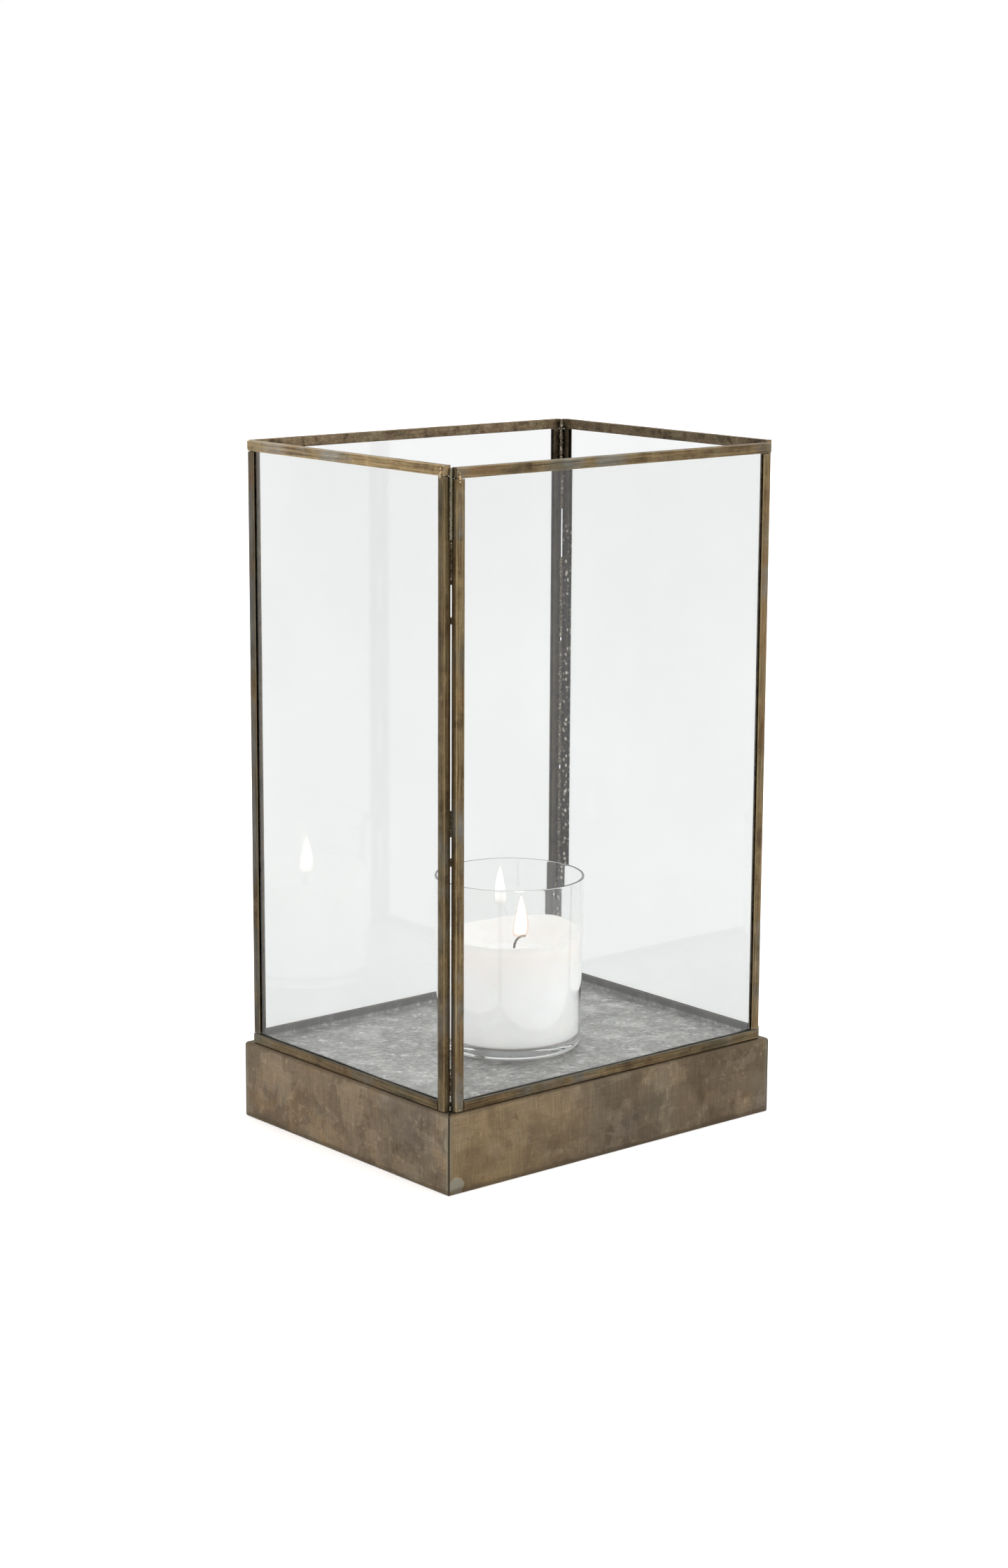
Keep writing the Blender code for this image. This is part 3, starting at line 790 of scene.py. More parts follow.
def makeFoldedStrip():
    inputs = {
        "Section": ("Geometry", None),
        "Length": ("Float", 0.1),
        "Steps": ("Int", 40),
        "Start Mitre": ("Float", 0.0),
        "End Mitre": ("Float", 0.0),
        "Start Closed": ("Bool", False),
        "End Closed": ("Bool", False),
        "Plate Size": ("Vector", (0.001, 0.001, 0.001)),
        "Plate Centre": ("Vector", (0.0, 0.0, 0.0)),
        "Wave": ("Vector", (0.0, 0.0, 0.0)),
        "Wave Length": ("Float", 0.05),
        "End Fade": ("Float", 0.01),
        "Seam Reach": ("Float", 0.01),
        "Strip Number": ("Float", 0.0),
        "Tone": ("Vector", (1.0, 0.0, 0.0)),
        "Material": ("Material", None),
    }
    tree, entry, leave = newTree("GeometryNodeTree", "foldedStrip", inputs, {"Strip": "Geometry"})
    section = addNode(tree, "GeometryNodeMeshToCurve", {0: entry["Section"]}).outputs[0]
    reach = joinXyz(tree, entry["Length"], 0.0, 0.0)
    path = addNode(tree, "GeometryNodeCurvePrimitiveLine", {"End": reach}).outputs[0]
    path = addNode(tree, "GeometryNodeResampleCurve", {"Curve": path, "Count": entry["Steps"]}).outputs[0]
    sockets = {"Curve": path, "Profile Curve": section, "Fill Caps": True}
    folded = addNode(tree, "GeometryNodeCurveToMesh", sockets).outputs[0]
    join = tree.nodes.new("GeometryNodeJoinGeometry")
    plate = addNode(tree, "GeometryNodeMeshCube", {"Size": entry["Plate Size"]}).outputs["Mesh"]
    for end in ("End", "Start"):
        spot = entry["Plate Centre"]
        if end == "End":
            mirror = vectorCalc(tree, "MULTIPLY", spot, (-1.0, 1.0, 1.0))
            spot = vectorCalc(tree, "ADD", mirror, reach)
        moved = addNode(tree, "GeometryNodeTransform", {"Geometry": plate, "Translation": spot}).outputs[0]
        sockets = {"Switch": entry[end + " Closed"], "True": moved}
        closed = addNode(tree, "GeometryNodeSwitch", sockets, input_type="GEOMETRY").outputs[0]
        tree.links.new(closed, join.inputs[0])
    tree.links.new(folded, join.inputs[0])
    position = tree.nodes.new("GeometryNodeInputPosition").outputs[0]
    parts = splitXyz(tree, position)
    x, z = parts[0], parts[2]
    girth = namedValue(tree, "girth", "FLOAT")
    edgeWearAndLight, inner = splitXyz(tree, namedValue(tree, "finish", "FLOAT_VECTOR"))[:2]
    toEnd = minus(tree, entry["Length"], x)
    nearest = calc(tree, "MINIMUM", x, toEnd)
    seam = flip(tree, fade(tree, nearest, 0.0, entry["Seam Reach"]))
    shape = join.outputs[0]
    number = entry["Strip Number"]
    stored = {
        "lay": joinXyz(tree, x, girth, number),
        "finish": joinXyz(tree, edgeWearAndLight, inner, seam),
        "tone": entry["Tone"],
    }
    for name, value in stored.items():
        saver = addNode(tree, "GeometryNodeStoreNamedAttribute", data_type="FLOAT_VECTOR", domain="POINT")
        plug(tree, shape, saver.inputs["Geometry"])
        plug(tree, name, saver.inputs["Name"])
        plug(tree, value, saver.inputs["Value"])
        shape = saver.outputs[0]
    place = vectorCalc(tree, "DIVIDE", position, triple(tree, entry["Wave Length"]))
    place = vectorCalc(tree, "ADD", place, triple(tree, number))
    sockets = {"Vector": place, "Scale": 1.0, "Detail": 2.0, "Roughness": 0.5}
    wobble = addNode(tree, "ShaderNodeTexNoise", sockets).outputs["Color"]
    wobble = vectorCalc(tree, "SUBTRACT", wobble, (0.5, 0.5, 0.5))
    wobble = vectorCalc(tree, "MULTIPLY", wobble, entry["Wave"])
    calm = fade(tree, nearest, 0.0, entry["End Fade"])
    wobble = vectorCalc(tree, "MULTIPLY", wobble, triple(tree, calm))
    share = calc(tree, "DIVIDE", x, entry["Length"])
    startShear = times(tree, entry["Start Mitre"], flip(tree, share))
    endShear = times(tree, entry["End Mitre"], share)
    shear = times(tree, z, minus(tree, startShear, endShear))
    offset = vectorCalc(tree, "ADD", wobble, joinXyz(tree, shear, 0.0, 0.0))
    shape = addNode(tree, "GeometryNodeSetPosition", {"Geometry": shape, "Offset": offset}).outputs[0]
    tree.links.new(finishShape(tree, shape, entry["Material"]), leave["Strip"])
    return tree


def sectionMesh(name, points):
    # points are (y, z, edge weight for wear and for painted highlight and shade, inner); the loop runs
    # anticlockwise so the strip faces outwards
    area = sum(a[0] * b[1] - b[0] * a[1] for a, b in zip(points, points[1:] + points[:1]))
    if area < 0:
        points = points[::-1]
    count = len(points)
    mesh = bpy.data.meshes.new(name)
    verts = [(-point[0], -point[1], 0.0) for point in points]
    mesh.from_pydata(verts, [(i, (i + 1) % count) for i in range(count)], [])
    girths = [0.0]
    for a, b in zip(points, points[1:]):
        girths.append(girths[-1] + math.dist(a[:2], b[:2]))
    mesh.attributes.new("girth", "FLOAT", "POINT").data.foreach_set("value", girths)
    finish = [value for point in points for value in (point[2], point[3], 0.0)]
    mesh.attributes.new("finish", "FLOAT_VECTOR", "POINT").data.foreach_set("vector", finish)
    return mesh


def boxCorner(low, high, axes):
    # the box corner that is lowest along all three axes, and the box's size along each
    corner = Vector((0.0, 0.0, 0.0))
    sizes = []
    for axis in axes:
        spot = Vector([low[i] if axis[i] > 0 else high[i] for i in range(3)])
        corner += Vector([spot[i] * abs(axis[i]) for i in range(3)])
        sizes.append(abs((high - low).dot(axis)))
    return corner, sizes


def placeMatrix(corner, axes):
    turned = Matrix(axes).transposed().to_4x4()
    return Matrix.Translation(corner) @ turned


# the way to the right along each side, seen from outside
right = {
    "front": Vector((1, 0, 0)),
    "right": Vector((0, 1, 0)),
    "back": Vector((-1, 0, 0)),
    "left": Vector((0, -1, 0)),
}
inward = {side: Vector((-way.y, way.x, 0)) for side, way in right.items()}
up = Vector((0, 0, 1))
foldedStrip = makeFoldedStrip()

came = {
    "wall": 0.00045,
    "stileRadius": 0.0008,
    "railRadius": 0.0005,
    "footRadius": 0.00025,
    "backRadius": 0.0002,
    "backDrop": 0.0010,
    "lipRoll": 0.00018,
    "step": 0.004,
    "wave": 0.00012,
    "waveLength": 0.028,
    "endFade": 0.006,
    "seamReach": 0.006,
    # at these ends the top rail runs over the upright and the upright stands beside the bottom rail
    "butted": {"front": "left", "left": "right"},
    # brightness and greyness, for strips that differ from the usual; the brightness is partly each strip's
    # own tone and partly painted light and shade, lighter or darker by where the strip stands to the light
    "usualTone": (1.2, 0.2),
    "tones": {
        "left_rail_top": (1.9, 0.1),
        "front_rail_top": (1.05, 0.1),
        "left_stile_left": (0.75, 0.6),
        "left_stile_right": (0.85, 0.1),
        "front_stile_left": (1.05, 0.3),
        "front_stile_right": (1.15, 0.0),
        "left_rail_bottom": (0.85, 0.2),
        "front_rail_bottom": (0.82, 0.1),
        "right_stile_left": (0.9, 0.2),
        "back_stile_right": (0.9, 0.2),
        "back_stile_left": (0.55, 0.4),
        "right_stile_right": (0.50, 0.2),
        "back_rail_top": (1.6, 0.0),
        "right_rail_top": (1.2, 0.0),
    },
}
# 1 puts putty along a strip's lip, 2 lets solder run down its back
came["extras"] = {side + "_rail_bottom": 1.0 for side in right}
came["extras"]["right_stile_right"] = 2.0


def cameSection(depth, face, radius, drop):
    wall, back, roll = came["wall"], came["backRadius"], came["lipRoll"]
    lip = face - wall / 2
    rows = [face * share for share in (0.32, 0.5, 0.74)]
    points = [(roll, lip, 0.8, 0.2)]
    points += [(0.0, row, 0.0, 0.0) for row in reversed(rows)]
    rounding = arc((radius, radius), radius, 180, 270, 4)
    points += [(y, z, math.sin(math.pi * i / 4), 0.0) for i, (y, z) in enumerate(rounding)]
    rounding = arc((depth - back, back), back, 270, 360, 4)
    points += [(y, z, 0.2 * math.sin(math.pi * i / 4), i / 4) for i, (y, z) in enumerate(rounding)]
    points += [(depth, row, 0.0, 1.0) for row in rows[1:]]
    points += [(depth - roll, lip - drop, 0.5, 1.0), (depth - roll - wall / 2, face - drop, 0.7, 1.0)]
    points += [(depth - roll - wall, lip - drop, 0.2, 1.0), (depth - wall, wall, 0.0, 1.0)]
    points += [(wall, wall, 0.0, 1.0), (wall + roll, lip, 0.2, 1.0), (roll + wall / 2, face, 1.0, 0.3)]
    return points


def cameStrips(material):
    runs = {
        "rail_bottom": lambda side: (right[side], inward[side], up),
        "rail_top": lambda side: (-right[side], inward[side], -up),
        "stile_left": lambda side: (-up, inward[side], right[side]),
        "stile_right": lambda side: (up, inward[side], -right[side]),
    }
    number = 0
    for side in right:
        buttedEnd = came["butted"].get(side)
        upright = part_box(side + "_stile_left")
        stileFace = abs((upright[1] - upright[0]).dot(right[side]))
        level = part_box(side + "_rail_top")
        railFace = level[1].z - level[0].z
        for run, axesOf in runs.items():
            node = side + "_" + run
            axes = axesOf(side)
            corner, (length, depth, face) = boxCorner(*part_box(node), axes)
            isRail = run.startswith("rail")
            startEnd, endEnd = ("left", "right") if run == "rail_bottom" else ("right", "left")
            wall = came["wall"]
            trims = [0.0, 0.0]
            if run == "rail_bottom":
                trims = [stileFace * (end == buttedEnd) for end in (startEnd, endEnd)]
            elif run == "stile_" + (buttedEnd or "none"):
                trims = [railFace, 0.0] if run.endswith("left") else [0.0, railFace]
            corner = corner + axes[0] * trims[0]
            length -= sum(trims)
            values = {
                "Length": length,
                "Steps": max(3, round(length / came["step"])),
                "Start Closed": isRail,
                "End Closed": isRail,
                "Plate Size": (wall, depth - 2.1 * wall, face - 1.6 * wall),
                "Plate Centre": (wall / 2, depth / 2, face / 2),
                "Wave": (0.0, came["wave"], came["wave"] * 1.6),
                "Wave Length": came["waveLength"],
                "End Fade": came["endFade"],
                "Seam Reach": came["seamReach"],
                "Strip Number": 0.37 * number,
                "Tone": (*came["tones"].get(node, came["usualTone"]), came["extras"].get(node, 0.0)),
                "Material": material,
            }
            radius = came[{"rail_bottom": "footRadius", "rail_top": "railRadius"}.get(run, "stileRadius")]
            drop = came["backDrop"] if run == "rail_bottom" else 0.0
            section = cameSection(depth, face, radius, drop)
            mesh = grow("came_" + node, foldedStrip, values, sectionMesh("section", section))
            mesh.transform(placeMatrix(corner, axes))
            mesh.shade_smooth()
            mesh.set_sharp_from_angle(angle=math.radians(50))
            keep("came_" + node, mesh, "glass_cover", [node])
            number += 1
    print("came strips folded:", number)


plinth = {
    "sheet": 0.0009,
    "bend": 0.0018,
    "hem": 0.009,
    "foot": 0.0007,
    "ledge": 0.014,
    "wallRows": 9,
    "step": 0.004,
    "wave": 0.0006,
    "waveLength": 0.055,
    "endFade": 0.03,
    "seamReach": 0.0045,
    "mitreGap": 0.00006,
    # painted light and shade: each plate made lighter or darker by the side it faces, the left one most
    "lightAndTone": {"front": 1.06, "right": 1.2, "back": 1.2, "left": 1.45},
}


def plinthSection(height):
    sheet, bend, foot, ledge = plinth["sheet"], plinth["bend"], plinth["foot"], plinth["ledge"]
    hem = plinth["hem"]
    loop = [(hem, 0.0, 0.3, 1.0), (hem / 2, 0.0, 0.0, 1.0)]
    fold = arc((foot, foot), foot, 270, 180, 3)
    loop += [(u, v, 1.0, 0.0) for u, v in fold]
    for i in range(1, plinth["wallRows"]):
        loop.append((0.0, foot + (height - bend - foot) * i / plinth["wallRows"], 0.0, 0.0))
    fold = arc((bend, height - bend), bend, 180, 90, 6)
    loop += [(u, v, math.sin(math.pi * i / 6), 0.0) for i, (u, v) in enumerate(fold)]
    loop += [(ledge * 0.4, height, 0.0, 0.0), (ledge * 0.7, height, 0.0, 0.0), (ledge, height, 0.6, 0.2)]
    loop.append((ledge, height - sheet, 0.0, 1.0))
    fold = arc((bend, height - bend), bend - sheet, 90, 180, 3)
    loop += [(u, v, 0.0, 1.0) for u, v in fold]
    loop += [(sheet, height * 0.5, 0.0, 1.0), (sheet, sheet, 0.0, 1.0), (hem, sheet, 0.0, 1.0)]
    return [(-v, u, edgeWearAndLight, inner) for u, v, edgeWearAndLight, inner in loop]


def plinthPlates(material):
    for number, side in enumerate(right):
        node = "plinth_" + side
        axes = (right[side], -up, inward[side])
        low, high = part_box(node)
        height = high.z
        span = abs((cadBox[1] - cadBox[0]).dot(right[side]))
        length = span - 2 * plinth["mitreGap"]
        corner, sizes = boxCorner(low, high, axes)
        corner = corner - right[side] * (length - sizes[0]) / 2
        corner.z = 0.0
        values = {
            "Length": length,
            "Steps": round(length / plinth["step"]),
            "Start Mitre": 1.0,
            "End Mitre": 1.0,
            "Wave": (0.0, 0.0, plinth["wave"]),
            "Wave Length": plinth["waveLength"],
            "End Fade": plinth["endFade"],
            "Seam Reach": plinth["seamReach"],
            "Strip Number": 5.3 + 0.71 * number,
            "Tone": (plinth["lightAndTone"][side], float(side == "front"), 0.0),
            "Material": material,
        }
        mesh = grow("plate_" + side, foldedStrip, values, sectionMesh("section", plinthSection(height)))
        mesh.transform(placeMatrix(corner, axes))
        mesh.shade_smooth()
        mesh.set_sharp_from_angle(angle=math.radians(40))
        keep("plate_" + side, mesh, "base", [node])
    print("plinth folded")


# solder: blobs along a line, melted into one skin

def makeSolderSeam():
    inputs = {
        "Seat": ("Geometry", None),
        "Start": ("Vector", (0.0, 0.0, 0.0)),
        "End": ("Vector", (0.0, 0.0, 0.01)),
        "Beads": ("Int", 8),
        "Bead Radius": ("Float", 0.001),
        "Spread": ("Float", 0.35),
        "Wander": ("Float", 0.0003),
        "Voxel": ("Float", 0.0003),
        "Seed": ("Int", 1),
        "Material": ("Material", None),
    }
    tree, entry, leave = newTree("GeometryNodeTree", "solderSeam", inputs, {"Seam": "Geometry"})
    sockets = {"Count": entry["Beads"], "Start Location": entry["Start"], "Offset": entry["End"]}
    line = addNode(tree, "GeometryNodeMeshLine", sockets, mode="END_POINTS").outputs[0]
    high = triple(tree, entry["Wander"])
    low = vectorCalc(tree, "MULTIPLY", high, (-1.0, -1.0, -1.0))
    stray = addNode(tree, "FunctionNodeRandomValue", data_type="FLOAT_VECTOR")
    plug(tree, low, stray.inputs[0])
    plug(tree, high, stray.inputs[1])
    plug(tree, entry["Seed"], stray.inputs["Seed"])
    sockets = {"Geometry": line, "Offset": stray.outputs[0]}
    line = addNode(tree, "GeometryNodeSetPosition", sockets).outputs[0]
    girth = addNode(tree, "FunctionNodeRandomValue", data_type="FLOAT")
    plug(tree, flip(tree, entry["Spread"]), girth.inputs[2])
    plug(tree, plus(tree, 1.0, entry["Spread"]), girth.inputs[3])
    plug(tree, entry["Seed"], girth.inputs["Seed"])
    radius = times(tree, girth.outputs[1], entry["Bead Radius"])
    points = addNode(tree, "GeometryNodeMeshToPoints", {"Mesh": line, "Radius": radius}).outputs[0]
    volume = addNode(tree, "GeometryNodePointsToVolume", resolution_mode="VOXEL_SIZE")
    plug(tree, points, volume.inputs["Points"])
    plug(tree, entry["Voxel"], volume.inputs["Voxel Size"])
    plug(tree, radius, volume.inputs["Radius"])
    skin = addNode(tree, "GeometryNodeVolumeToMesh", resolution_mode="VOXEL_SIZE")
    plug(tree, volume.outputs[0], skin.inputs["Volume"])
    plug(tree, entry["Voxel"], skin.inputs["Voxel Size"])
    plug(tree, 0.1, skin.inputs["Threshold"])
    shape = addNode(tree, "GeometryNodeSetShadeSmooth", {"Geometry": skin.outputs[0]}).outputs[0]
    tree.links.new(finishShape(tree, shape, entry["Material"]), leave["Seam"])
    return tree


solderSeam = makeSolderSeam()
solder = {
    "radius": 0.0009,
    "wideRadius": 0.0011,
    "spacing": 0.0010,
    "spread": 0.25,
    "wander": 0.00025,
    "voxel": 0.00028,
    "inset": 0.0007,
    "notchOut": 0.0008,
    "endMargin": 0.001,
    "dropRise": 0.0030,
    "dropSink": 0.0012,
    "dropRadius": 0.00060,
    "frontDrop": (0.0016, 0.0, -0.0005),
    "leftDrop": (0.0, 0.0030, 0.0016),
    # lowest and highest point and bead radius of the two seams outside each corner
    "notches": {
        "front_left": ((0.3160, 0.3480, 0.00085), (0.0412, 0.0425, 0.0006)),
        "front_right": ((0.3390, 0.3480, 0.0009), (0.0420, 0.0490, 0.0008)),
        "back_right": ((0.3040, 0.3490, 0.0009), (0.0420, 0.0540, 0.0008)),
        "back_left": ((0.3300, 0.3480, 0.0009), (0.0420, 0.0500, 0.0008)),
    },
    "notchEvenness": 1.6,
}


def solderRun(name, start, end, radius, body, material, seed, nodes=(), evenness=1.0):
    length = (end - start).length
    values = {
        "Start": tuple(start),
        "End": tuple(end),
        "Beads": max(3, round(length / solder["spacing"] * evenness)),
        "Bead Radius": radius,
        "Spread": solder["spread"] / evenness ** 2,
        "Wander": solder["wander"] / evenness ** 2,
        "Voxel": solder["voxel"],
        "Seed": seed,
        "Material": material,
    }
    mesh = grow(name, solderSeam, values)
    return keep(name, mesh, body, nodes)


def cornerSigns(name):
    # which way the inside lies, seen from a named upright corner
    return Vector((1.0 if "_left" in name else -1.0, 1.0 if "front_" in name else -1.0, 0.0))


def insideSeams(material):
    for seed, node in enumerate(sorted(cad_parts)):
        if "solder_" not in node:
            continue
        low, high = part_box(node)
        towards = cornerSigns(node)
        x = low.x if towards.x > 0 else high.x
        y = low.y if towards.y > 0 else high.y
        inset = towards * solder["inset"]
        margin = min(solder["endMargin"], (high.z - low.z) / 4)
        start = Vector((x, y, low.z + margin)) + inset
        end = Vector((x, y, high.z - margin)) + inset
        body = "base" if node.startswith("plinth") else "glass_cover"
        radius = solder["wideRadius"] if "back_right" in node else solder["radius"]
        solderRun("bead_" + node, start, end, radius, body, material, seed, [node])
    print("inside seams run")


def outsideSeams(material, dropMaterial):
    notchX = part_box("front_stile_right")[1].x + solder["notchOut"]
    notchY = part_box("right_stile_right")[1].y + solder["notchOut"]
    # small drops where the top rails meet the uprights of the near corner
    low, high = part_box("front_stile_left")
    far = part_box("left_stile_right")[0].x
    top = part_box("front_rail_top")[0].z
    drops = {
        "joint_drop_front": Vector((low.x, low.y, top)) + Vector(solder["frontDrop"]),
        "joint_drop_left": Vector((far, high.y, top)) + Vector(solder["leftDrop"]),
    }
    for number, (name, spot) in enumerate(drops.items()):
        start = spot - Vector((0.0, 0.0, solder["dropSink"]))
        end = spot + Vector((0.0, 0.0, solder["dropRise"]))
        solderRun(name, start, end, solder["dropRadius"], "glass_cover", dropMaterial, 90 + number)
    evenness = solder["notchEvenness"]
    for seed, (corner, spans) in enumerate(solder["notches"].items()):
        towards = cornerSigns(corner + "_")
        x = -towards.x * notchX
        y = -towards.y * notchY
        for place, (low, high, radius) in zip(("top", "foot"), spans):
            name = "notch_solder_" + corner + "_" + place
            start = Vector((x, y, low))
            end = Vector((x, y, high))
            solderRun(name, start, end, radius, "glass_cover", material, 40 + 7 * seed, (), evenness)


# glass panes

paneShape = {"chamfer": 0.00025}


def panes(material):
    for side in right:
        node = side + "_pane"
        low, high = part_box(node)
        bm = bmesh.new()
        bmesh.ops.create_cube(bm, size=1.0)
        matrix = Matrix.Translation((low + high) / 2) @ Matrix.Diagonal((*(high - low), 1.0))
        bmesh.ops.transform(bm, matrix=matrix, verts=bm.verts)
        chamfer = paneShape["chamfer"]
        bmesh.ops.bevel(bm, geom=bm.edges, offset=chamfer, segments=2, profile=0.5, affect="EDGES")
        mesh = meshFrom(bm, "glass_" + side)
        mesh.shade_flat()
        keep("glass_" + side, mesh, "glass_cover", [node], material)
    print("panes cut")


# the zinc tray

trayShape = {
    "sheet": 0.00065,
    "foldRadius": 0.0012,
    "cells": (36, 28),
    "sag": 0.0003,
    "rimWave": 0.0005,
    "nearDip": 0.0017,
    "dipReach": 0.06,
}


def zincTray(material):
    low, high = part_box("tray")
    size = high - low
    bm = bmesh.new()
    across, deep = trayShape["cells"]
    bmesh.ops.create_grid(bm, x_segments=across, y_segments=deep, size=0.5)
    for vert in bm.verts:
        vert.co = Vector((vert.co.x * size.x, vert.co.y * size.y, low.z))
    border = [edge for edge in bm.edges if edge.is_boundary]
    made = bmesh.ops.extrude_edge_only(bm, edges=border)["geom"]
    # the rims on the two near sides are folded a little lower
    for vert in (item for item in made if isinstance(item, bmesh.types.BMVert)):
        ripple = noise.noise(vert.co * 22.0) * trayShape["rimWave"]
        reach = min((high.x - vert.co.x) / size.x, (high.y - vert.co.y) / size.y)
        dip = trayShape["nearDip"] * min(1.0, reach / trayShape["dipReach"])
        vert.co.z = high.z - trayShape["rimWave"] + ripple - dip
    folds = [edge for edge in border if edge.is_valid]
    for edge in bm.edges:
        rise = abs(edge.verts[0].co.z - edge.verts[1].co.z)
        if rise > 0.001 and edge.calc_face_angle(0.0) > 0.5:
            folds.append(edge)
    bmesh.ops.bevel(bm, geom=folds, offset=trayShape["foldRadius"], segments=3, profile=0.5, affect="EDGES")
    for vert in bm.verts:
        if vert.co.z < low.z + 1e-5:
            vert.co.z += abs(noise.noise(vert.co * 30.0)) * trayShape["sag"]
    mesh = meshFrom(bm, "zinc_tray")
    piece = bpy.data.objects.new("zinc_tray_draft", mesh)
    scene.collection.objects.link(piece)
    sheet = piece.modifiers.new("sheet", "SOLIDIFY")
    sheet.thickness = trayShape["sheet"]
    sheet.offset = -1.0
    finished = bpy.data.meshes.new_from_object(piece.evaluated_get(bpy.context.evaluated_depsgraph_get()))
    bpy.data.objects.remove(piece)
    finished.shade_smooth()
    finished.set_sharp_from_angle(angle=math.radians(40))
    keep("zinc_tray", finished, "base", ["tray"], material)
    print("tray folded")


# the candle

cup = {
    "wall": 0.0011,
    "rimRound": 0.0003,
    "base": 0.0052,
    "footRound": 0.0034,
    "floorRound": 0.0022,
    "taper": 0.0014,
    "punt": 0.0007,
    "steps": 128,
    "rings": (0.008, 0.02) + tuple(i / 10 for i in range(1, 10)) + (0.98, 0.992),
}
waxShape = {
    "height": 0.0592,
    "poolHeight": 0.0480,
    "poolRadius": 0.018,
    "edgeDrop": 0.0005,
    "clearance": 0.00015,
    "lift": 0.0006,
    "tabSpare": 0.0003,
    "tabCover": 0.0005,
    "plateHeight": 0.0009,
    "collarRadius": 0.0028,
    "sag": 0.0009,
    "rise": 0.0018,
    "dip": 0.0024,
    "steps": 96,
}


def cupInnerRadius(height, topRadius, cupHeight):
    return topRadius - cup["taper"] * (1 - height / cupHeight) - cup["wall"]


def cupMeasures():
    low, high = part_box("candle_cup")
    centre = Vector(((low.x + high.x) / 2, (low.y + high.y) / 2, low.z))
    return centre, high.z - low.z, (high.x - low.x) / 2


def glassCup(material):
    centre, tall, topRadius = cupMeasures()
    footRadius = topRadius - cup["taper"]
    rim, turn, floor, base = cup["rimRound"], cup["footRound"], cup["floorRound"], cup["base"]
    inner = cupInnerRadius(base, topRadius, tall)
    profile = [(0.0, base + 0.0003), (inner * 0.5, base + 0.00015)]
    profile += arc((inner - floor, base + floor), floor, 270, 360, 6)
    for share in cup["rings"]:
        height = base + floor + (tall - rim - base - floor) * share
        profile.append((cupInnerRadius(height, topRadius, tall), height))
    profile += arc((topRadius - cup["wall"] + rim, tall - rim), rim, 180, 90, 5)
    profile += arc((topRadius - rim, tall - rim), rim, 90, 0, 5)
    for share in cup["rings"]:
        height = tall - rim - (tall - rim - turn) * share
        profile.append((topRadius - cup["taper"] * (1 - height / tall), height))
    profile += arc((footRadius - turn, turn), turn, 0, -90, 8)
    punt = cup["punt"]
    profile += [(footRadius - turn - 0.0025, punt), (footRadius * 0.5, punt * 1.3), (0.0, punt * 1.4)]
    mesh = lathe("cup_glassware", profile, centre, cup["steps"])
    keep("cup_glassware", mesh, "candle", ["candle_cup"], material)


def waxFill(material):
    centre, tall, topRadius = cupMeasures()
    clearance, pool, poolHeight = waxShape["clearance"], waxShape["poolRadius"], waxShape["poolHeight"]
    edgeHeight = waxShape["height"] - waxShape["edgeDrop"]
    edge = cupInnerRadius(waxShape["height"], topRadius, tall) - clearance
    base = cup["base"] + waxShape["lift"]
    foot = cupInnerRadius(base, topRadius, tall) - clearance
    tabLow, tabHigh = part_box("wick_tab")
    tabRadius = (tabHigh.x - tabLow.x) / 2 + waxShape["tabSpare"]
    tabTop = tabHigh.z - centre.z + waxShape["tabCover"]
    collar, plate = waxShape["collarRadius"], base + waxShape["plateHeight"]
    profile = [(0.0, poolHeight)]
    profile += [(pool * t, poolHeight + 0.00002 * t) for t in (0.25, 0.5, 0.75, 0.92)]
    for i in range(15):
        t = i / 14
        rise = (1 - math.cos(math.pi * t ** 1.15)) / 2
        height = poolHeight + (waxShape["height"] - poolHeight) * rise
        profile.append((pool + (edge - 0.0004 - pool) * t, height))
    profile.append((edge, edgeHeight))
    for i in range(1, 12):
        height = edgeHeight - (edgeHeight - base - 0.002) * i / 11
        profile.append((cupInnerRadius(height, topRadius, tall) - clearance, height))
    profile += [(foot - 0.0008, base + 0.0005), (foot - 0.0025, base)]
    # the underside is hollow round the wick's tab
    profile += [(tabRadius, base), (tabRadius, plate), (collar, plate), (collar, tabTop), (0.0, tabTop)]
    mesh = lathe("wax_fill", profile, centre, waxShape["steps"], 50)
    uneven(mesh, centre, centre.z + poolHeight + 0.001, centre.z + waxShape["height"])
    keep("wax_fill", mesh, "candle", ["wax"], material)


def uneven(mesh, centre, low, high):
    # the melted slope sags a little differently all round, high on one side and low on the next
    for vert in mesh.vertices:
        share = max(0.0, min(1.0, (vert.co.z - low) / (high - low)))
        spot = vert.co - centre
        sag = noise.noise(Vector((spot.x, spot.y, 0.3)) * 60.0) * waxShape["sag"]
        spread = max(1e-6, spot.xy.length)
        lean = waxShape["rise"] * max(0.0, spot.x / spread) ** 2
        lean -= waxShape["dip"] * max(0.0, spot.y / spread) ** 2
        vert.co.z += (sag + lean) * share


